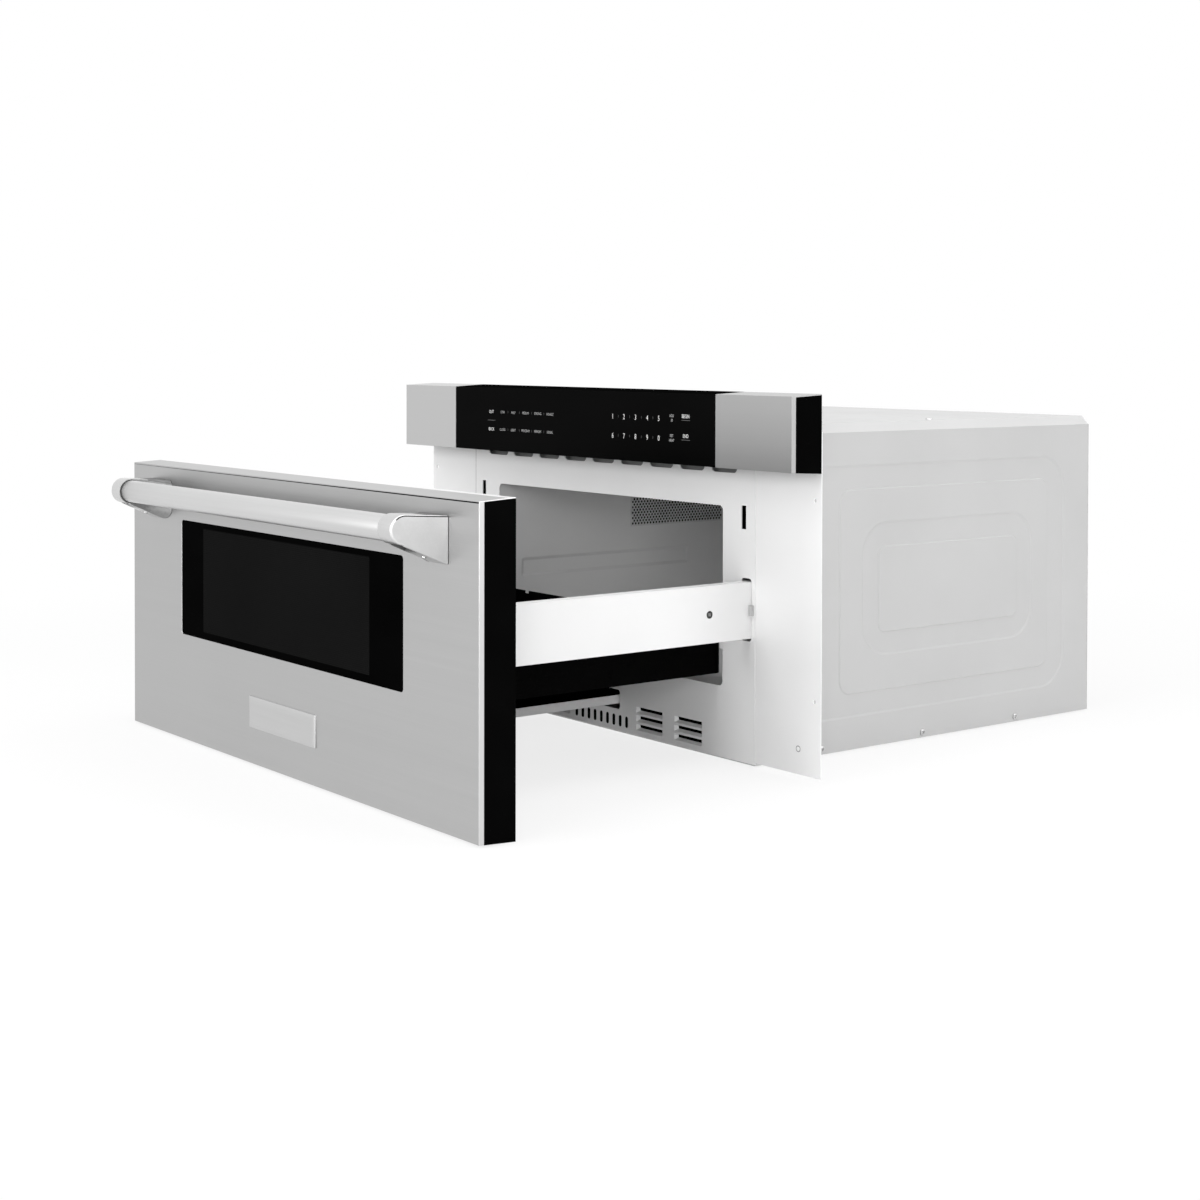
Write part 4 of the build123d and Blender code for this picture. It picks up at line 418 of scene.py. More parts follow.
def make_piece(name, work, body, finishes, stands_for=(), sharp=SHARP):
    """A bmesh turned into a piece that rides on a body; it may stand for nodes."""
    bmesh.ops.recalc_face_normals(work, faces=work.faces)
    mesh = bpy.data.meshes.new(name)
    work.to_mesh(mesh)
    work.free()
    mesh.shade_smooth()
    mesh.set_sharp_from_angle(angle=sharp)
    for finish in finishes:
        mesh.materials.append(finish)
    piece = bpy.data.objects.new(name, mesh)
    bpy.context.collection.objects.link(piece)
    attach(piece, body)
    if stands_for:
        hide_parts(*stands_for)
    return piece


def loft(work, loops, ends=True):
    """Quads between closed loops of points, with a face over each end."""
    rows = [[work.verts.new(point) for point in loop] for loop in loops]
    for near, far in zip(rows, rows[1:]):
        for i in range(len(near)):
            j = (i + 1) % len(near)
            work.faces.new((near[i], near[j], far[j], far[i]))
    if ends:
        work.faces.new(rows[0])
        work.faces.new(rows[-1])
    return rows


def band_face(near, far, k):
    """The face between two rows of a loft, from point k to the next."""
    after = (k + 1) % len(near)
    corners = {near[k], near[after], far[k], far[after]}
    return next(face for face in near[k].link_faces if set(face.verts) == corners)


def finish_bands(near, far, bands, finish):
    """Gives some of the faces between two rows of a loft another of the piece's finishes."""
    for k in bands:
        band_face(near, far, k).material_index = finish


def add_block(work, low, high):
    """A plain box."""
    outline = [(low[0], low[1]), (high[0], low[1]), (high[0], high[1]), (low[0], high[1])]
    loft(work, [[(x, y, z) for x, y in outline] for z in (low[2], high[2])])


def rounded_loop(low, high, corners, steps=6):
    """Points round a rectangle from low to high in 2-D. corners holds (across, up) for each corner, starting
    at low and going anticlockwise."""
    (u0, v0), (u1, v1) = low, high
    signs = ((-1, -1), (1, -1), (1, 1), (-1, 1))
    points = []
    for k, ((su, sv), (ru, rv)) in enumerate(zip(signs, corners)):
        cu = (u0 + ru) if su < 0 else (u1 - ru)
        cv = (v0 + rv) if sv < 0 else (v1 - rv)
        for step in range(steps + 1):
            angle = pi + (k + step / steps) * pi / 2
            points.append((cu + ru * cos(angle), cv + rv * sin(angle)))
    return points


def even_loop(low, high, shrink, radius, steps=6):
    """The same with four equal corners, made smaller all round by shrink."""
    near = (low[0] + shrink, low[1] + shrink)
    far = (high[0] - shrink, high[1] - shrink)
    return rounded_loop(near, far, [(radius, radius)] * 4, steps)


def turns_round(count):
    """Evenly spaced angles, once round."""
    return [2 * pi * k / count for k in range(count)]


def circle(middle, radius, count):
    """Points round a circle in 2-D."""
    return [(middle[0] + radius * cos(t), middle[1] + radius * sin(t)) for t in turns_round(count)]


def smooth(t):
    """0 to 1 with level ends."""
    return t * t * (3 - 2 * t)


def axes_along(direction):
    """The direction as a unit vector, and two more across it."""
    axis = Vector(direction).normalized()
    side = axis.orthogonal().normalized()
    return axis, side, axis.cross(side)


def add_turned(work, profile, origin, direction, count):
    """A turned shape: profile holds (radius, height) from the middle of one end to the other."""
    axis, side, other = axes_along(direction)
    origin = Vector(origin)
    loops = []
    for radius, height in profile:
        ring = circle((0, 0), max(radius, WELD), count)
        loops.append([origin + axis * height + side * a + other * b for a, b in ring])
    return loft(work, loops)


def thicken(piece, thickness, sharp):
    """Gives a sheet its thickness, inward, and crisp edges; the result is the piece's own mesh."""
    sheet = piece.modifiers.new("sheet", "SOLIDIFY")
    sheet.thickness = thickness
    sheet.offset = -1
    bpy.context.view_layer.update()
    solid = bpy.data.meshes.new_from_object(piece.evaluated_get(bpy.context.evaluated_depsgraph_get()))
    solid.shade_smooth()
    solid.set_sharp_from_angle(angle=sharp)
    piece.modifiers.clear()
    thin = piece.data
    solid.name = thin.name
    piece.data = solid
    bpy.data.meshes.remove(thin)


def level_normals(piece):
    """Keeps wide flat faces flat next to small curved ones."""
    level = piece.modifiers.new("level", "WEIGHTED_NORMAL")
    level.keep_sharp = True
    level.weight = 100


def softened(name, width):
    """A node's own shape with its edges rounded off, standing for the node."""
    source = frame["nodes"][name]
    work = bmesh.new()
    work.from_mesh(source.data)
    bmesh.ops.remove_doubles(work, verts=work.verts, dist=WELD)
    bmesh.ops.dissolve_limit(work, angle_limit=FLAT_TURN, verts=work.verts, edges=work.edges)
    finish = source.material_slots[0].material
    piece = make_piece("soft_" + name, work, source["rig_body"], [finish], [name])
    bevel = piece.modifiers.new("edges", "BEVEL")
    bevel.width = width
    bevel.segments = 3
    bevel.limit_method = "ANGLE"
    bevel.angle_limit = EDGE_TURN
    bevel.harden_normals = True


# ------------------------ handle
NOSE_R = 14.4 * MM  # of each bracket, round the bar
BRACKET_W = 24 * MM  # at the bar
BRACKET_TAPER = 10.5 * MM  # the outer face leans in this much from the steel to the tip
FOOT_UP = 12.2 * MM  # the foot's top above the bar's axis
EDGE_R = 1.7 * MM  # of the bracket's outer face
NOSE_EDGE = 0.8 * MM  # of its inner side
NOSE_RISE = 0.98  # most that a rounded edge takes of the nose's half height
FOOT_CORNER = (25 * MM, 13 * MM)  # lower inner corner of the foot
FOOT_EDGE = 4 * MM  # the foot's other inner edge is this much softer than the nose's
CORNER_SHARE = 0.48  # most that a corner takes of the height
FLARE_POWER = 2.8
POCKET_Y = (-6 * MM, 15 * MM)  # recess in the underside, from the bar's axis; dark with painted shade on the right bracket
POCKET_RIM = 2.2 * MM
POCKET_DRAFT = 0.2 * MM
POCKET_DEPTH = 3 * MM
POCKET_TILT = -0.4  # its faces look down more than this,
POCKET_CELL = 12 * MM * MM  # and are larger than this
NOSE_TURNS = (2, 5, 9, 13, 18, 24, 30, 37, 44, 52, 60, 68, 76, 84)  # degrees round the nose, from its tip
ARM_ROWS = 26
JOINT_TURN = 48  # there the painted shade along the outer face's joint begins
CORNER_STEPS = 6  # bands round each edge of a bracket
JOINT_BANDS = 3  # of them carry painted shade in the joint
FOOT_START = 20 * MM  # behind the bar's axis, from where the foot's top carries painted shade
FOOT_GAP = 0.45 * MM  # shadow gap round the foot, against the steel
FOOT_STEP = 0.9  # the gap's step lies this share of it off the steel
BAR_GAP = 0.3 * MM  # between the bar's end and each bracket
BAR_CHAMFER = 0.7 * MM
BAR_SIDES = 72
SHADE_WASHER_R = 13.7 * MM  # dark washer between the bar's end and each bracket: painted shade in the gap
BRACKET_FINISHES = [HANDLE_STEEL, JOINT_SHADE, EDGE_HIGHLIGHT_STEEL, SHADED_STEEL, POCKET_SHADE_STEEL, FOOT_SHADE_STEEL]
PLAIN_STEEL, SHADED_JOINT, RIM_HIGHLIGHT, INNER_SHADE, SHADED_POCKET, SHADED_FOOT = range(6)


def bracket_lines():
    """Corners of the right-hand bracket's solid, the bar's axis, and where its round underside ends."""
    low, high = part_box("handle_bracket_right")
    bar = Vector((0, low.y + NOSE_R, high.z - NOSE_R))
    reach = hypot(high.y - bar.y, bar.z - low.z)
    touch = acos(NOSE_R / reach) + acos((high.y - bar.y) / reach)
    return low, high, bar, (bar.y + NOSE_R * cos(touch), bar.z - NOSE_R * sin(touch))


CAST_LOW, CAST_HIGH, BAR, NOSE_END = bracket_lines()


def bracket_heights(y):
    """Bottom and top of the bracket at depth y."""
    half = sqrt(max(NOSE_R ** 2 - (BAR.y - y) ** 2, 0))
    bottom, top = BAR.z - half, BAR.z + half
    if y > BAR.y:
        share = (y - BAR.y) / (CAST_HIGH.y - BAR.y)
        top = BAR.z + NOSE_R + (FOOT_UP - NOSE_R) * share
    if y > NOSE_END[0]:
        share = (y - NOSE_END[0]) / (CAST_HIGH.y - NOSE_END[0])
        bottom = NOSE_END[1] + (CAST_LOW.z - NOSE_END[1]) * share
    return bottom, top


def bracket_sides(y):
    """Inner and outer side of the bracket at depth y, and how far the foot has swept out there, 0 to 1."""
    outer = CAST_HIGH.x - BRACKET_TAPER * (CAST_HIGH.y - y) / (CAST_HIGH.y - CAST_LOW.y)
    inner_start = BAR.y + NOSE_R
    sweep = max(y - inner_start, 0) / (CAST_HIGH.y - inner_start)
    at_bar = CAST_HIGH.x - BRACKET_TAPER - BRACKET_W
    return at_bar - (at_bar - CAST_LOW.x) * sweep ** FLARE_POWER, outer, sweep


def fallen_back(away, radius):
    """How far a rounded edge lies behind its flat face at that distance from where it starts."""
    away = min(max(away, 0), radius)
    return radius - sqrt(radius ** 2 - away ** 2)


def nose_loop(y):
    """The bracket's outline at depth y in front of the bar's axis, with round edges all round the nose."""
    inner, outer, _ = bracket_sides(y)
    ahead = BAR.y - y
    half = sqrt(NOSE_R ** 2 - ahead ** 2)
    corners = []
    for edge in (NOSE_EDGE, EDGE_R, EDGE_R, NOSE_EDGE):
        rise = half - sqrt(max((NOSE_R - edge) ** 2 - ahead ** 2, 0))
        corners.append((edge, min(rise, NOSE_RISE * half)))
    points = []
    for x, z in rounded_loop((inner, BAR.z - half), (outer, BAR.z + half), corners, CORNER_STEPS):
        reach = hypot(ahead, z - BAR.z)
        if x > (inner + outer) / 2:
            x = outer - fallen_back(reach - (NOSE_R - EDGE_R), EDGE_R)
        else:
            x = inner + fallen_back(reach - (NOSE_R - NOSE_EDGE), NOSE_EDGE)
        points.append((x, z))
    return points


def arm_loop(y, shrink):
    """The bracket's outline at depth y behind the bar's axis, made smaller all round by shrink."""
    inner, outer, sweep = bracket_sides(y)
    bottom, top = bracket_heights(y)
    low, high = (inner + shrink, bottom + shrink), (outer - shrink, top - shrink)
    most = CORNER_SHARE * (high[1] - low[1])
    edge = min(EDGE_R, most)
    soft = min(NOSE_EDGE + FOOT_EDGE * sweep, most)
    corner = tuple(min(soft + (size - soft) * sweep ** 2, most) for size in FOOT_CORNER)
    return rounded_loop(low, high, (corner, (edge, edge), (edge, edge), (soft, soft)), CORNER_STEPS)


def finish_bracket(rows):
    """Picks the finish of each band of a bracket's outline, row by row."""
    joint_start = BAR.y - NOSE_R * cos(radians(JOINT_TURN))
    lower_edge = CORNER_STEPS + 1
    upper_edge = 2 * lower_edge
    top = upper_edge + CORNER_STEPS
    inner_edge = 3 * lower_edge
    inner_side = inner_edge + CORNER_STEPS
    for near, far in zip(rows, rows[1:]):
        y = near[0].co.y
        if y < BAR.y:
            finish_bands(near, far, range(lower_edge, lower_edge + CORNER_STEPS), RIM_HIGHLIGHT)
        if y > joint_start:
            finish_bands(near, far, range(upper_edge, upper_edge + JOINT_BANDS), SHADED_JOINT)
        else:
            finish_bands(near, far, range(upper_edge, top), RIM_HIGHLIGHT)
        # painted shade on the inner side and its edges
        finish_bands(near, far, [*range(CORNER_STEPS), *range(inner_edge, inner_side + 1)], INNER_SHADE)
        if y > BAR.y + FOOT_START:
            finish_bands(near, far, range(top, inner_side), SHADED_FOOT)
    # the shadow gap round the foot is coloured with painted shade too
    for near, far in zip(rows[-3:], rows[-2:]):
        finish_bands(near, far, range(len(near)), SHADED_JOINT)


def make_bracket(side, node, pocket):
    """A cast bracket: a round nose that takes the bar and sweeps back into a wide foot on the steel. pocket
    is the finish of the recess in its underside: painted shade on the right bracket, plain steel on the
    left."""
    back = CAST_HIGH.y
    nose = [BAR.y - NOSE_R * cos(radians(turn)) for turn in NOSE_TURNS]
    arm = [(BAR.y + (back - BAR.y) * k / ARM_ROWS, 0) for k in range(ARM_ROWS)]
    arm += [(back - FOOT_GAP, 0), (back - FOOT_STEP * FOOT_GAP, FOOT_GAP), (back, FOOT_GAP)]
    loops = [[(side * x, y, z) for x, z in nose_loop(y)] for y in nose]
    loops += [[(side * x, y, z) for x, z in arm_loop(y, shrink)] for y, shrink in arm]
    work = bmesh.new()
    finish_bracket(loft(work, loops))
    bmesh.ops.recalc_face_normals(work, faces=work.faces)
    under = []
    for face in work.faces:
        down = face.normal.z < POCKET_TILT and len(face.verts) == 4 and face.calc_area() > POCKET_CELL
        if down and POCKET_Y[0] < face.calc_center_median().y - BAR.y < POCKET_Y[1]:
            under.append(face)
    bmesh.ops.inset_region(work, faces=under, thickness=POCKET_RIM, depth=0)
    sunk = bmesh.ops.inset_region(work, faces=under, thickness=POCKET_DRAFT, depth=-POCKET_DEPTH)
    for face in under + sunk["faces"]:
        face.material_index = pocket
    make_piece(node + "_cast", work, "drawer", BRACKET_FINISHES, [node])


def make_bar():
    """The round bar with a small chamfer at each end in painted shade, and a dark washer between it and each
    bracket as painted shade in the gap.
    """
    half = CAST_HIGH.x - BRACKET_TAPER - BRACKET_W - BAR_GAP
    low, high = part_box("handle_bar")
    radius = (high.z - low.z) / 2
    edge = BAR_CHAMFER
    end = [(0, half), (radius - edge, half), (radius - edge / 4, half - edge / 4), (radius, half - edge)]
    work = bmesh.new()
    add_turned(work, [(r, -x) for r, x in end] + end[::-1], (0, BAR.y, BAR.z), (1, 0, 0), BAR_SIDES)
    for face in work.faces:
        if abs(face.calc_center_median().x) > half - edge:
            face.material_index = SHADED_JOINT
    finishes = [HANDLE_STEEL, JOINT_SHADE]
    make_piece("handle_round_bar", work, "drawer", finishes, ["handle_bar"], SOFT_SHARP)
    shade_discs = bmesh.new()
    for side in (-1, 1):
        disc = [(0, 0), (SHADE_WASHER_R, 0), (SHADE_WASHER_R, BAR_GAP), (0, BAR_GAP)]
        add_turned(shade_discs, disc, (side * half, BAR.y, BAR.z), (side, 0, 0), BAR_SIDES)
    make_piece("handle_shade_washers", shade_discs, "drawer", [JOINT_SHADE])


make_bar()
make_bracket(1, "handle_bracket_right", SHADED_POCKET)
make_bracket(-1, "handle_bracket_left", PLAIN_STEEL)

# ------------------------ window
SIGHT_LEFT = 55.5 * MM  # black border round the tinted middle
SIGHT_RIGHT = 64.8 * MM
SIGHT_UNDER = 8 * MM
SIGHT_OVER = 6.4 * MM
WINDOW_R = 8 * MM
SIGHT_R = 0.5 * MM
GLASS_EDGE = 0.6 * MM


def make_window():
    """The pane: ground edge, opaque black border, and the tinted middle with the screen behind it."""
    low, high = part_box("window_glass")
    loops = []
    for shrink, y in ((0, high.y), (0, low.y + GLASS_EDGE), (GLASS_EDGE, low.y)):
        loops.append([(x, y, z) for x, z in even_loop(low.xz, high.xz, shrink, WINDOW_R - shrink)])
    sight = (low.x + SIGHT_LEFT, low.z + SIGHT_UNDER), (high.x - SIGHT_RIGHT, high.z - SIGHT_OVER)
    loops.append([(x, low.y, z) for x, z in even_loop(*sight, 0, SIGHT_R)])
    work = bmesh.new()
    rows = loft(work, loops)
    for face in work.faces:
        if len(face.verts) > 4 and face.verts[0] in rows[-1]:
            face.material_index = 1
    make_piece("window_pane", work, "drawer", [WINDOW_BORDER, WINDOW_TINT], ["window_glass"])


make_window()

# ------------------------ badge plate
BADGE_BEVEL = 6 * MM
BADGE_RIM = 0.9 * MM  # height of its upright edge
BADGE_EASE = (0.25 * MM, 0.2 * MM)  # from the edge inward and up, to where the slope starts
BADGE_CORNER = (0.6 * MM, 0.05 * MM)  # corner at the edge, and the smallest one
BADGE_STEPS = 6


def make_badge():
    """The bare plate: an upright edge and a soft slope up to a flat field."""
    low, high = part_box("badge_plate")
    start = BADGE_RIM + BADGE_EASE[1]
    rise = high.y - low.y - BADGE_RIM - BADGE_EASE[1]
    rings = [(0.0, 0.0), (0.0, BADGE_RIM), (BADGE_EASE[0], start)]
    for k in range(1, BADGE_STEPS + 1):
        share = k / BADGE_STEPS
        rings.append((BADGE_BEVEL * share, start + rise * sin(share * pi / 2)))
    loops = []
    for shrink, height in rings:
        ring = even_loop(low.xz, high.xz, shrink, max(BADGE_CORNER[0] - shrink, BADGE_CORNER[1]))
        loops.append([(x, high.y - height, z) for x, z in ring])
    work = bmesh.new()
    loft(work, loops)
    make_piece("badge_blank", work, "drawer", [BADGE_STEEL], ["badge_plate"])


make_badge()

# ------------------------ seam under the top fold
TOP_FOLD = 2.2 * MM  # height of the fold, with its rounded edge
SEAM_LOW = 2.0 * MM  # below it
SEAM_H = (0.3 * MM, 1.3 * MM)  # at its left and right end
SEAM_IN = 0.6 * MM  # clear of the front's sides
SEAM_SINK = 0.2 * MM


def make_seam():
    """The joint between the steel face and its top fold, black as painted shade, widening towards the right.
    """
    half = SKIN_HIGH.x - SEAM_IN
    base = SKIN_HIGH.z - TOP_FOLD - SEAM_LOW
    ring = [(-half, base), (half, base), (half, base + SEAM_H[1]), (-half, base + SEAM_H[0])]
    work = bmesh.new()
    loft(work, [[(x, SKIN_LOW.y + sink, z) for x, z in ring] for sink in (SEAM_SINK, -LAYER)])
    make_piece("fold_seam_shade", work, "drawer", [SHADE_BLACK])


make_seam()

# ------------------------ printing on the control glass
CAP_SHARE = 0.73  # height of a capital in the font's size
NARROW = 0.82
WORD_CAP = 3.3 * MM
NUMBER_CAP = 6.2 * MM
KEY_CAP = 4.3 * MM
UPPER_Z = 379.5 * MM
LOWER_Z = 357.5 * MM
NUMBER_UP = (1.5 * MM, 1.2 * MM)  # numbers stand this much over the words' lines
PAIR_UP = (2.4 * MM, 2 * MM)  # and so do the keys with two lines
PAIR_HALF = 2.6 * MM
END_UP = 5 * MM
LEFT_KEY_X = -176.6 * MM
PAIR_X = 182.8 * MM
END_KEY_X = 207.3 * MM
WORD_X = (-151.6 * MM, -128.3 * MM, -101.8 * MM, -75.7 * MM, -50.3 * MM)
NUMBER_X = (74.6 * MM, 95.8 * MM, 117.4 * MM, 138.9 * MM, 159.7 * MM)
MARK = (0.4 * MM, 3 * MM)  # upright line between keys
LEFT_RULE = (17 * MM, 0.5 * MM)
END_RULE = (15 * MM, 0.5 * MM)
END_RULE_DOWN = 4.6 * MM
UPPER_WORDS = ("LOW", "HALF", "MEDIUM", "STRONG", "HIGHEST")
LOWER_WORDS = ("CLOCK", "LIGHT", "PROGRAM", "MEMORY", "SIGNAL")
PRINT_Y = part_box("control_glass")[0].y - LAYER


def add_word(work, text, x, z, cap):
    """A word centred on x, with its capitals' middle at height z."""
    curve = bpy.data.curves.new("word", "FONT")
    curve.body = text
    curve.align_x = "CENTER"
    curve.size = cap / CAP_SHARE
    curve.resolution_u = 3
    holder = bpy.data.objects.new("word", curve)
    mesh = bpy.data.meshes.new_from_object(holder)
    turn = Matrix.Rotation(pi / 2, 4, "X") @ Matrix.Diagonal((NARROW, 1, 1, 1))
    mesh.transform(Matrix.Translation((x, PRINT_Y, z - cap / 2)) @ turn)
    work.from_mesh(mesh)
    bpy.data.meshes.remove(mesh)
    bpy.data.objects.remove(holder)
    bpy.data.curves.remove(curve)


def add_rule(work, x, z, size):
    """A short printed line."""
    corners = ((-1, -1), (1, -1), (1, 1), (-1, 1))
    points = [(x + u * size[0] / 2, PRINT_Y, z + v * size[1] / 2) for u, v in corners]
    work.faces.new([work.verts.new(point) for point in points])


def make_print():
    """Key words, numbers and the short lines between them."""
    bright, soft, dim = bmesh.new(), bmesh.new(), bmesh.new()
    add_word(bright, "OUT", LEFT_KEY_X, UPPER_Z, KEY_CAP)
    add_word(bright, "BACK", LEFT_KEY_X, LOWER_Z, KEY_CAP)
    add_rule(dim, LEFT_KEY_X, (UPPER_Z + LOWER_Z) / 2, LEFT_RULE)
    for work, texts, places, z, cap in (
        (soft, UPPER_WORDS, WORD_X, UPPER_Z, WORD_CAP),
        (soft, LOWER_WORDS, WORD_X, LOWER_Z, WORD_CAP),
        (bright, "12345", NUMBER_X, UPPER_Z + NUMBER_UP[0], NUMBER_CAP),
        (bright, "67890", NUMBER_X, LOWER_Z + NUMBER_UP[1], NUMBER_CAP),
    ):
        for text, x in zip(texts, places):
            add_word(work, text, x, z, cap)
        for left, right in zip(places, places[1:]):
            add_rule(dim, (left + right) / 2, z, MARK)
    for lines, z in ((("ADD", "30"), UPPER_Z + PAIR_UP[0]), (("SET", "HEAT"), LOWER_Z + PAIR_UP[1])):
        for word, rise in zip(lines, (PAIR_HALF, -PAIR_HALF)):
            add_word(soft, word, PAIR_X, z + rise, WORD_CAP)
    for word, z in (("BEGIN", UPPER_Z + END_UP), ("END", LOWER_Z + END_UP)):
        add_word(bright, word, END_KEY_X, z, KEY_CAP)
        add_rule(dim, END_KEY_X, z - END_RULE_DOWN, END_RULE)
    for name, work, finish in (
        ("panel_numbers", bright, PRINT), ("panel_words", soft, SOFT_PRINT), ("panel_rules", dim, DIM_PRINT),
    ):
        make_piece(name, work, "chassis", [finish])


make_print()

# ------------------------ perforated sheet in the cavity's left wall
HOLE_R = 1.7 * MM
HOLE_PITCH_Y = 5.2 * MM
HOLE_PITCH_Z = 3.7 * MM
GRILLE_RIM = 0.6 * MM
GRILLE_SHEET = 0.8 * MM
HOLE_SIDES = 16
SHADE_T = 0.12 * MM


def make_grille():
    """Staggered round holes, each in a rectangular cell. Alternate rows stand half a cell over."""
    low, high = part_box("cavity_vent_grille")
    rows = int((high.z - low.z - 2 * GRILLE_RIM) / HOLE_PITCH_Z)
    columns = int((high.y - low.y - 2 * GRILLE_RIM) / HOLE_PITCH_Y - 0.5)
    z_start = (low.z + high.z - rows * HOLE_PITCH_Z) / 2
    y_start = (low.y + high.y - (columns + 0.5) * HOLE_PITCH_Y) / 2
    work = bmesh.new()

    def new_points(points):
        return [work.verts.new((high.x, y, z)) for y, z in points]

    def quad(y0, y1, z0, z1):
        work.faces.new(new_points(((y0, z0), (y1, z0), (y1, z1), (y0, z1))))

    for row in range(rows):
        z0 = z_start + row * HOLE_PITCH_Z
        z1 = z0 + HOLE_PITCH_Z
        zm = (z0 + z1) / 2
        first = y_start + (row % 2) * HOLE_PITCH_Y / 2
        for column in range(columns):
            y0 = first + column * HOLE_PITCH_Y
            ym, y1 = y0 + HOLE_PITCH_Y / 2, y0 + HOLE_PITCH_Y
            hole = new_points(circle((ym, zm), HOLE_R, HOLE_SIDES))
            rim = [(y1, zm), (y1, z1), (ym, z1), (y0, z1), (y0, zm), (y0, z0), (ym, z0), (y1, z0)]
            cell = new_points(rim)
            for k in range(8):
                arc = [hole[(2 * k + 2) % HOLE_SIDES], hole[2 * k + 1], hole[2 * k]]
                work.faces.new([cell[k], cell[(k + 1) % 8]] + arc)
        quad(low.y, first, z0, z1)
        quad(first + columns * HOLE_PITCH_Y, high.y, z0, z1)
    quad(low.y, high.y, low.z, z_start)
    quad(low.y, high.y, z_start + rows * HOLE_PITCH_Z, high.z)
    bmesh.ops.remove_doubles(work, verts=work.verts, dist=MERGE)
    piece = make_piece("lamp_grille", work, "chassis", [GRILLE_COAT], ["cavity_vent_grille"])
    thicken(piece, GRILLE_SHEET, SHARP)
    shade = bmesh.new()
    add_block(shade, (low.x + SHADE_T / 2, low.y, low.z), (low.x + SHADE_T, high.y, high.z))
    make_piece("grille_shade", shade, "chassis", [SHADE_BLACK])


make_grille()

# ------------------------ soft slopes of the long press in each cavity wall, a little darker than the wall as painted shade
RIB_Y = (35 * MM, 320 * MM)
RIB_Z = (160 * MM, 185 * MM)
RIB_R = (4 * MM, 0.4 * MM)  # corner of the press, and the smallest one
RIB_SHARP = radians(60)
# points of the slope, inward and down, in millimetres
RIB_SLOPE = ((0, 0), (1, 0.12), (2.4, 0.8), (3.8, 1.4), (4.4, 1.5), (0, 1.5))


def make_rib_slopes(side, name):
    """A closed strip that fills the step round the press with a slope."""
    face_x = abs(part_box("cavity_vent_grille")[1].x)
    low, high = zip(RIB_Y, RIB_Z)
    loops = []
    for inward, down in RIB_SLOPE:
        ring = even_loop(low, high, inward * MM, max(RIB_R[0] - inward * MM, RIB_R[1]))
        loops.append([(side * (face_x + down * MM), y, z) for y, z in ring])
    work = bmesh.new()
    rows = loft(work, loops, ends=False)
    for i in range(len(rows[0])):
        j = (i + 1) % len(rows[0])
        work.faces.new((rows[-1][i], rows[-1][j], rows[0][j], rows[0][i]))
    make_piece(name, work, "chassis", [SLOPE_SHADE_COAT], sharp=RIB_SHARP)


make_rib_slopes(-1, "press_slope_left")
make_rib_slopes(1, "press_slope_right")

# ------------------------ painted shade behind the openings of the front plate, and the plate's joints with its flanges
BACKING_T = 0.5 * MM
LOUVRE_BACK = 8.6 * MM  # depth of the backing behind the plate, clear of the louvres
LOUVRE_SPAN = (61 * MM, 190 * MM)
LOUVRE_TOP = 38 * MM
VENT_TOP = 24 * MM
BAFFLE_FOOT = (3 * MM, 1.1 * MM)  # behind the plate's back and above the duct's underside
BAFFLE_HEAD = (11 * MM, 33 * MM)
BAFFLE_IN = 2 * MM  # clear of the duct's sides
LOUVRE_X = (-161.4 * MM, -90.5 * MM, 90.5 * MM, 161.4 * MM)  # middles of the columns of louvres
LOUVRE_Z = (35.2 * MM, 24.95 * MM, 14.7 * MM)  # tops of the rows
LOUVRE_SHADE_Y = (4.2 * MM, 4.5 * MM)  # depth of the black painted shade in each louvre
LOUVRE_SHADE_HALF = 21.5 * MM
LOUVRE_SHADE_Z = (-5.2 * MM, -0.2 * MM)  # from the louvre's top
VENT_X = -2.4 * MM  # middle of the row of upright vents
VENT_Z = 13.6 * MM
VENT_PITCH = 12.45 * MM
VENT_COUNT = 9
VENT_SHADE_SIZE = (2.6 * MM, 6.9 * MM)  # half width and half height of the black painted shade in each vent
VENT_SHADE_DEPTH = (-LAYER, 1.4 * MM)
SLOT_SHADE_Y = (6 * MM, 60 * MM)  # black painted shade on the cavity's outside, beside the latch slots
SLOT_SHADE_Z = (246 * MM, 296 * MM)
SLOT_SHADE_GAP = 0.1 * MM
SEAM_X = (-276.5 * MM, -276.0 * MM)  # painted shadow line at the left joint of the plate and its flange
BEAD_X = (275.5 * MM, 276.1 * MM)  # folded edge of the plate at its right flange
BEAD_T = 0.6 * MM
FLANGE_Z = (2 * MM, 329 * MM)  # of both: start above the plate's foot, and top


def add_bent_sheet(work, x0, x1, line, thickness):
    """A sheet bent along a line of (depth, height) points, from x0 to x1."""
    outline = line + [(y + thickness, z - thickness) for y, z in reversed(line)]
    loft(work, [[(x, y, z) for y, z in outline] for x in (x0, x1)])


def make_shade_backing():
    """Black sheet in front of the electrics: painted shade, so that vents and louvres look dark."""
    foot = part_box("base_plate")[0].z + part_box("front_plate")[0].z
    plate_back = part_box("outer_wrapper")[0].y
    near, far = LOUVRE_SPAN
    work = bmesh.new()
    for x0, x1, top in ((-far, -near, LOUVRE_TOP), (-near, near, VENT_TOP), (near, far, LOUVRE_TOP)):
        line = [(plate_back, top), (LOUVRE_BACK, top), (LOUVRE_BACK, foot + BACKING_T)]
        add_bent_sheet(work, x0, x1, line, BACKING_T)
    make_piece("vent_shade_backing", work, "chassis", [SHADE_BLACK])


def make_shade_baffle():
    """Slanted grey sheet in the exhaust duct, just behind its vents: painted shade seen through them."""
    low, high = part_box("exhaust_duct")
    line = [(low.y + behind, low.z + above) for behind, above in (BAFFLE_HEAD, BAFFLE_FOOT)]
    work = bmesh.new()
    add_bent_sheet(work, low.x + BAFFLE_IN, high.x - BAFFLE_IN, line, BACKING_T / 2)
    make_piece("duct_shade_baffle", work, "chassis", [BAFFLE_SHADE_COAT])


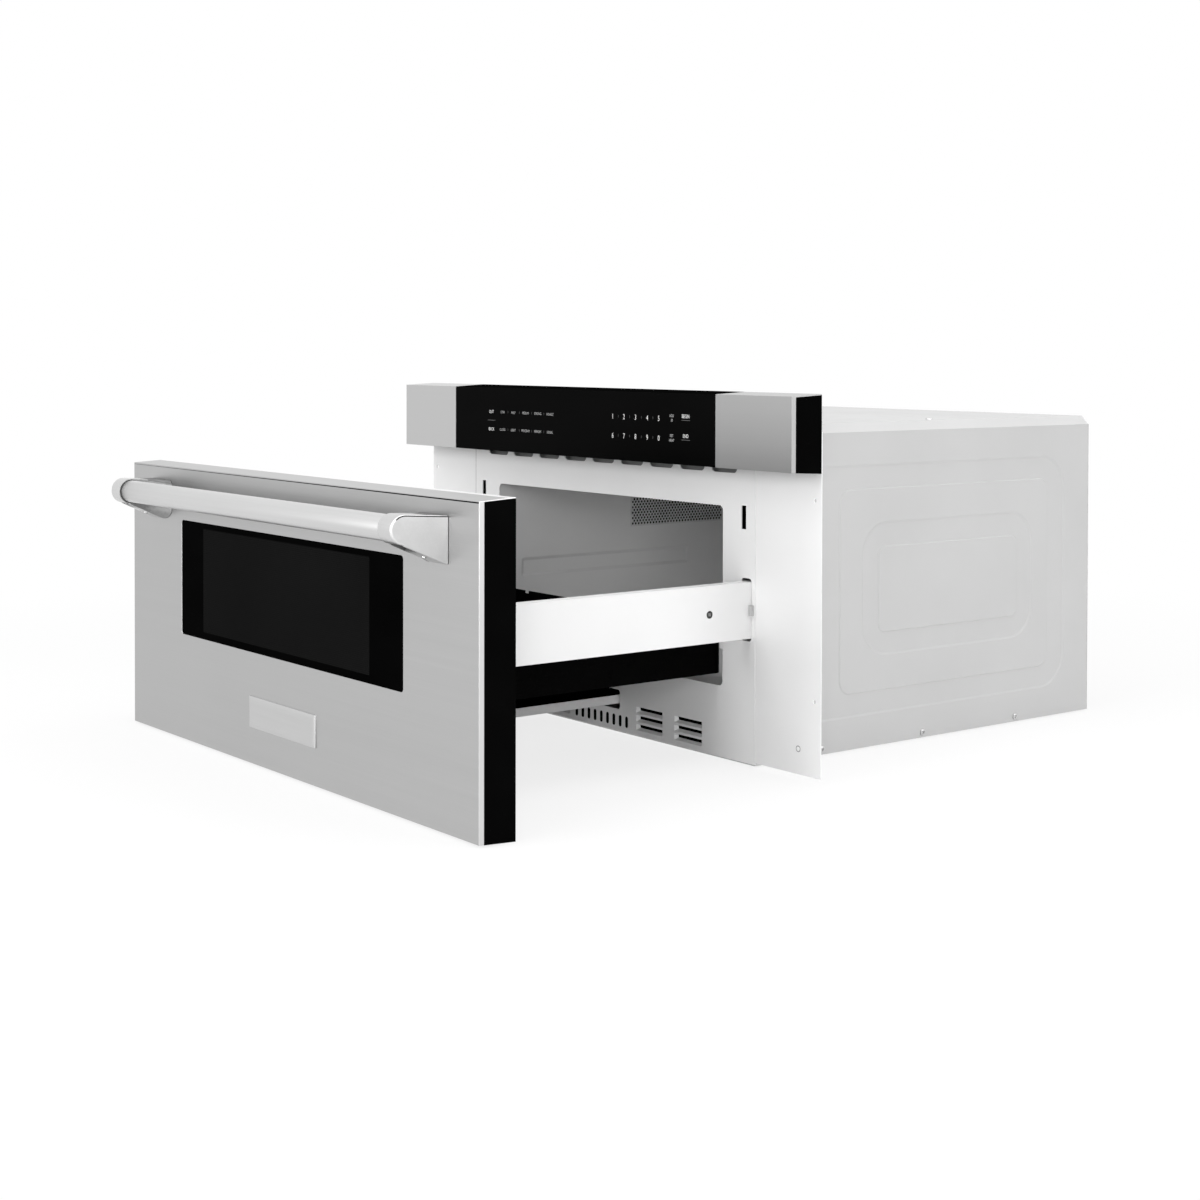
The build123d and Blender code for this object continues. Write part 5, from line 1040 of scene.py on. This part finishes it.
def make_vent_shades():
    """Black painted shade in the louvres and the upright vents."""
    work = bmesh.new()
    for x in LOUVRE_X:
        for top in LOUVRE_Z:
            low = (x - LOUVRE_SHADE_HALF, LOUVRE_SHADE_Y[0], top + LOUVRE_SHADE_Z[0])
            add_block(work, low, (x + LOUVRE_SHADE_HALF, LOUVRE_SHADE_Y[1], top + LOUVRE_SHADE_Z[1]))
    for k in range(VENT_COUNT):
        x = VENT_X + (k - (VENT_COUNT - 1) / 2) * VENT_PITCH
        ring = even_loop((x - VENT_SHADE_SIZE[0], VENT_Z - VENT_SHADE_SIZE[1]), (x + VENT_SHADE_SIZE[0], VENT_Z + VENT_SHADE_SIZE[1]), 0, VENT_SHADE_SIZE[0])
        loft(work, [[(x, y, z) for x, z in ring] for y in VENT_SHADE_DEPTH])
    make_piece("vent_louvre_shade", work, "chassis", [SHADE_BLACK])


def make_slot_shades():
    """Black painted shade on both outer sides of the cavity, seen through the latch slots."""
    near = abs(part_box("cavity_vent_grille")[0].x) + SLOT_SHADE_GAP
    work = bmesh.new()
    for x0, x1 in ((-near - BACKING_T, -near), (near, near + BACKING_T)):
        add_block(work, (x0, SLOT_SHADE_Y[0], SLOT_SHADE_Z[0]), (x1, SLOT_SHADE_Y[1], SLOT_SHADE_Z[1]))
    make_piece("latch_slot_shade", work, "chassis", [SHADE_BLACK])


def make_plate_joints():
    """Where the flanges meet the plate: a painted shadow line on the left, a folded edge on the right."""
    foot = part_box("front_plate")[0].z + FLANGE_Z[0]
    for name, span, front, finish in (
        ("flange_seam_shadow", SEAM_X, LAYER, JOINT_SHADE),
        ("plate_fold", BEAD_X, BEAD_T, WHITE_COAT),
    ):
        work = bmesh.new()
        add_block(work, (span[0], -front, foot), (span[1], LAYER, FLANGE_Z[1]))
        make_piece(name, work, "chassis", [finish])


make_shade_backing()
make_shade_baffle()
make_vent_shades()
make_slot_shades()
make_plate_joints()

# ------------------------ outer wrapper with its pressed channels
BEVEL = 10.5 * MM
PRESS_DEPTH = 1.2 * MM
PRESS_SLOPES = (2 * MM, 3.6 * MM)  # width of each channel's slanted inner and outer side
PRESS_STEPS = 6
RING_STEPS = 10  # round each corner of a ring
LEAST_R = 1 * MM
WRAP_SHEET = 0.8 * MM
WRAP_SHARP = radians(30)
# rings as (from the front, from the back, from the bottom, from the top, corner radius), in millimetres
RINGS = (
    (30.0, 48.0, 38.0, 49.5, 42.0),
    (129.7, 79.0, 64.0, 76.5, 16.0),
    (165.5, 109.5, 105.0, 116.4, 38.0),
    (192.0, 136.0, 131.0, 144.5, 10.0),
)


def wrap_ring(ring, grow, x):
    """One ring at x on the case's side, made larger by grow all round."""
    top_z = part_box("outer_wrapper")[1].z
    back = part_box("rear_panel")[1].y
    front, rear, bottom, top, radius = (value * MM for value in ring)
    corner = max(radius + grow, LEAST_R)
    loop = even_loop((front, bottom), (back - rear, top_z - top), -grow, corner, RING_STEPS)
    return [(x, y, z) for y, z in loop]


def add_side(work, side, low, high):
    """One side of the case, from x = side * high.x inward at the presses."""
    x = side * high.x
    loops = []
    for k, ring in enumerate(RINGS):
        sinking = k % 2 == 0
        for step in range(PRESS_STEPS + 1):
            share = step / PRESS_STEPS
            depth = PRESS_DEPTH * (smooth(share) if sinking else 1 - smooth(share))
            loops.append(wrap_ring(ring, PRESS_SLOPES[sinking] * (0.5 - share), x - side * depth))
    rows = loft(work, loops, ends=False)
    work.faces.new(rows[-1])
    corners = ((low.y, 0), (high.y, 0), (high.y, high.z - BEVEL), (low.y, high.z - BEVEL))
    border = [work.verts.new((x, y, z)) for y, z in corners]
    edges = [work.edges.new((border[i], border[(i + 1) % 4])) for i in range(4)]
    first = rows[0]
    edges += [work.edges.get((first[i], first[(i + 1) % len(first)])) for i in range(len(first))]
    bmesh.ops.triangle_fill(work, edges=edges, use_beauty=True)


def make_wrapper():
    """Top, bevels and sides in one sheet; both sides carry two pressed channels with soft edges."""
    low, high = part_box("outer_wrapper")
    work = bmesh.new()
    for side in (-1, 1):
        add_side(work, side, low, high)
    half = [(high.x, high.z - BEVEL), (high.x - BEVEL, high.z)]
    outline = half + [(-x, z) for x, z in reversed(half)]
    near, far = [[work.verts.new((x, y, z)) for x, z in outline] for y in (low.y, high.y)]
    for i in range(3):
        work.faces.new((near[i], near[i + 1], far[i + 1], far[i]))
    bmesh.ops.remove_doubles(work, verts=work.verts, dist=MERGE)
    finishes = [CASE_COAT]
    piece = make_piece("case_wrapper", work, "chassis", finishes, ["outer_wrapper"], WRAP_SHARP)
    thicken(piece, WRAP_SHEET, WRAP_SHARP)
    level_normals(piece)


make_wrapper()

# ------------------------ screws
CROSS_W = 1.0 * MM  # arm of the cross recess
CROSS_R = 2.4 * MM
CROSS_DEPTH = 1.2 * MM
CROSS_DRAFT = 0.7  # its floor is this much narrower
DOME_RINGS = (1.0, 0.97, 0.85, 0.7)  # shares of a head's radius
DOME_SPREAD = 0.75  # share of a round dome that a head takes
DOME_RIM = 0.45  # share of its height at the rim
HEAD_EDGE = 0.45  # share of the width beyond which a point is on the head's edge
RIVET_H = 1.2 * MM  # a lower head than this is a rivet
RIVET_SHARE = 0.62  # a rivet's dome is this much narrower than its solid
RIVET_SHADE_RING = 0.9 * MM  # ring of painted shade round its foot
ROUND_SIDES = 24  # of rivets and set screws
HEX_R = 1.25 * MM
HEX_FLOOR = -1.5 * MM
SET_SCREW_R = 2.4 * MM
COVER_SCREW_R = 2.9 * MM  # a drawer screw wider than this holds a rail cover
SET_SCREW_H = 1.2 * MM  # its end stands this much below the bracket
SET_SCREW_ROOT = -2 * MM
SET_SCREW_EDGE = 0.3 * MM


def solids_of(name):
    """The points of each separate solid in a node, from left to right."""
    work = bmesh.new()
    work.from_mesh(frame["nodes"][name].data)
    bmesh.ops.remove_doubles(work, verts=work.verts, dist=WELD)
    left = set(work.verts)
    found = []
    for start in list(work.verts):
        if start not in left:
            continue
        left.remove(start)
        batch = [start]
        points = []
        while batch:
            point = batch.pop()
            points.append(point.co.copy())
            linked = [edge.other_vert(point) for edge in point.link_edges]
            fresh = [other for other in linked if other in left]
            left.difference_update(fresh)
            batch.extend(fresh)
        found.append(points)
    work.free()
    return sorted(found, key=lambda points: tuple(round(v, 5) for v in sum(points, Vector()) / len(points)))


def head_of(points):
    """Seat, direction, radius and height of a screw's head."""
    low = Vector([min(p[k] for p in points) for k in range(3)])
    high = Vector([max(p[k] for p in points) for k in range(3)])
    sizes = high - low
    width = sorted(sizes)[1]
    along = max(range(3), key=lambda k: abs(sizes[k] - width))
    middle = (low + high) / 2
    edge = []
    for point in points:
        off = point - middle
        off[along] = 0
        if off.length > HEAD_EDGE * width:
            edge.append(point[along])
    start, end = min(edge), max(edge)
    outward = Vector((0, 0, 0))
    outward[along] = 1 if (start + end) / 2 > middle[along] else -1
    seat = middle.copy()
    seat[along] = start if outward[along] > 0 else end
    return seat, outward, width / 2, end - start


def add_dome(work, seat, outward, radius, height):
    """A low rivet head with a ring of painted shade round it."""
    rim = radius + RIVET_SHADE_RING
    profile = [(0, 0), (rim, 0), (rim, LAYER), (radius, LAYER)]
    for angle in range(15, 91, 15):
        turn = radians(angle)
        profile.append((radius * cos(turn), height * sin(turn)))
    rows = add_turned(work, profile, seat, outward, ROUND_SIDES)
    for near, far in zip(rows[1:3], rows[2:4]):
        finish_bands(near, far, range(ROUND_SIDES), 1)


def add_set_screw(work, seat, outward):
    """The end of a set screw with its hexagon socket."""
    axis, side, other = axes_along(outward)
    turns = turns_round(ROUND_SIDES)

    def ring(height, reaches):
        middle = seat + axis * height
        return [middle + (side * cos(t) + other * sin(t)) * r for t, r in zip(turns, reaches)]

    end = [SET_SCREW_R] * ROUND_SIDES
    eased = [SET_SCREW_R - SET_SCREW_EDGE] * ROUND_SIDES
    flat = HEX_R * cos(pi / 6)    # from the middle to a side of the socket
    hexagon = [flat / cos(t % (pi / 3) - pi / 6) for t in turns]
    loft(work, [
        ring(SET_SCREW_ROOT, end),
        ring(SET_SCREW_H - SET_SCREW_EDGE, end),
        ring(SET_SCREW_H, eased),
        ring(SET_SCREW_H, hexagon),
        ring(HEX_FLOOR, hexagon),
    ])


def add_cross_screw(work, seat, outward, radius, height):
    """A screw head with a cross recess, domed or flush; seat is the middle of its underside."""
    axis, side, other = axes_along(outward)
    half = CROSS_W / 2
    arms = []
    for quarter in range(4):
        c, d = cos(quarter * pi / 2), sin(quarter * pi / 2)
        for reach, offset in ((half, -half), (CROSS_R, -half), (CROSS_R, half)):
            arms.append((c * reach - d * offset, d * reach + c * offset))
    turns = [atan2(v, u) for u, v in arms]

    def dome(u, v):
        share = min(hypot(u, v) / radius, 1.0)
        return height * sqrt(max(1 - (DOME_SPREAD * share) ** 2, 0)) if share < 1 else height * DOME_RIM

    def at(u, v, h):
        return seat + side * u + other * v + axis * h

    def ring(share):
        return [(share * radius * cos(t), share * radius * sin(t)) for t in turns]

    loops = [[at(u, v, 0) for u, v in ring(1.0)]]
    loops += [[at(u, v, dome(u, v)) for u, v in points] for points in [*map(ring, DOME_RINGS), arms]]
    loops.append([at(CROSS_DRAFT * u, CROSS_DRAFT * v, height - CROSS_DEPTH) for u, v in arms])
    loft(work, loops)


def make_case_screws():
    """Cross-headed screws round the case, and the rivets low in the trim flanges."""
    heads = bmesh.new()
    rivets = bmesh.new()
    for points in solids_of("case_screws"):
        seat, outward, radius, height = head_of(points)
        if height < RIVET_H:
            add_dome(rivets, seat, outward, radius * RIVET_SHARE, height)
        else:
            add_cross_screw(heads, seat, outward, radius, height)
    make_piece("case_screw_heads", heads, "chassis", [SCREW_STEEL], ["case_screws"])
    make_piece("flange_rivets", rivets, "chassis", [WHITE_COAT, SHADED_STEEL], ["case_screws"])


def make_drawer_screws():
    """Flush cross-headed screws in the rail covers, and the set screws under the handle's brackets."""
    slope = Vector((0, CAST_LOW.z - NOSE_END[1], NOSE_END[0] - CAST_HIGH.y))
    work = bmesh.new()
    for points in solids_of("drawer_screws"):
        seat, outward, radius, height = head_of(points)
        if radius > COVER_SCREW_R:
            add_cross_screw(work, seat + outward * height, outward, radius, 0)
        else:
            add_set_screw(work, Vector((seat.x, seat.y, bracket_heights(seat.y)[0])), slope)
    make_piece("drawer_screw_heads", work, "drawer", [SCREW_STEEL], ["drawer_screws"])


make_case_screws()
make_drawer_screws()

# ------------------------ rounded edges of folded steel
softened("panel_cap_left", 0.8 * MM)
softened("panel_cap_right", 0.8 * MM)
softened("drawer_skin", 0.7 * MM)

# ------------------------ studio
bpy.context.scene.view_settings.view_transform = "Standard"
FLOOR_REACH = 30.0
FLOOR_Z = cad_box[0].z - 0.2 * MM  # just under the lowest point of the object
FLOOR_MIDDLE = (0, 0.1)
FLOOR_GREY = (0.86, 0.86, 0.86, 1)
FLOOR_WHITE = 0.8  # least share of plain white in what the camera sees of the floor
SHADOW_REACH = (0.7, 1.7)  # from the middle, where the floor turns plain white
WORLD_AMBIENT = 0.35
# name, place, target, width and power of each soft box
LAMPS = (
    ("side", (2.8, 1.4, 1.4), (0.2, 0, 0.2), 1.8, 27),
    ("top", (0.2, 0.2, 3.2), (0, 0, 0), 2.6, 44),
    ("front", (-0.3, -3.6, 0.9), (0, 0, 0.2), 2.0, 66),
    ("camera_side", (2.8, -2.0, 0.7), (0, 0, 0.2), 1.2, 28),
    ("back_top", (0.5, 2.6, 2.6), (0, 0, 0.2), 2.4, 23),
    ("front_top", (0.2, -2.0, 2.6), (0, 0, 0.2), 2.2, 34),
)


def seen_by_camera(tree):
    """1 for what the camera sees, itself or in a mirror or through glass."""
    path = add_node(tree, "LightPath", {}).node.outputs
    total = path["Is Camera Ray"]
    for name in ("Is Glossy Ray", "Is Transmission Ray"):
        total = add_node(tree, "Math", {0: total, 1: path[name]}, operation="MAXIMUM")
    return total


def make_world():
    """An even pale surround, and white where the camera sees it."""
    world = bpy.data.worlds.new("studio")
    world.use_nodes = True
    bpy.context.scene.world = world
    tree = world.node_tree
    background = tree.nodes["Background"]
    background.inputs["Color"].default_value = (1, 1, 1, 1)
    strength = {"Value": seen_by_camera(tree), "To Min": WORLD_AMBIENT, "To Max": 1.0}
    tree.links.new(add_node(tree, "MapRange", strength, "Result"), background.inputs["Strength"])


def floor_material():
    """Pale near the object, where its shadow falls, and plain white to the camera further off."""
    material = bpy.data.materials.new("floor")
    material.use_nodes = True
    tree = material.node_tree
    tree.nodes.clear()
    place = add_node(tree, "TexCoord", {}, "Object")
    reach = add_node(tree, "VectorMath", {0: place}, "Value", operation="LENGTH")
    near, far = SHADOW_REACH
    inputs = {"Value": reach, "From Min": near, "From Max": far, "To Min": FLOOR_WHITE}
    white = add_node(tree, "MapRange", inputs, "Result", interpolation_type="SMOOTHSTEP")
    share = add_node(tree, "Math", {0: white, 1: seen_by_camera(tree)}, operation="MULTIPLY")
    matt = add_node(tree, "BsdfDiffuse", {"Color": FLOOR_GREY})
    mix = add_node(tree, "MixShader", {0: share, 1: matt, 2: add_node(tree, "Emission", {})})
    out = tree.nodes.new("ShaderNodeOutputMaterial")
    tree.links.new(mix, out.inputs["Surface"])
    return material


def make_floor():
    """A pale floor that keeps the object's shadow."""
    mesh = bpy.data.meshes.new("floor")
    work = bmesh.new()
    bmesh.ops.create_grid(work, x_segments=1, y_segments=1, size=FLOOR_REACH)
    work.to_mesh(mesh)
    work.free()
    mesh.materials.append(floor_material())
    floor = bpy.data.objects.new("floor", mesh)
    floor.location = (*FLOOR_MIDDLE, FLOOR_Z)
    bpy.context.collection.objects.link(floor)


def make_lamp(name, place, target, width, power):
    """A square soft box that looks at target."""
    data = bpy.data.lights.new(name, "AREA")
    data.size = width
    data.energy = power
    lamp = bpy.data.objects.new(name, data)
    bpy.context.collection.objects.link(lamp)
    lamp.location = place
    lamp.rotation_euler = (Vector(target) - Vector(place)).to_track_quat("-Z", "Y").to_euler()


make_world()
make_floor()
for lamp in LAMPS:
    make_lamp(*lamp)
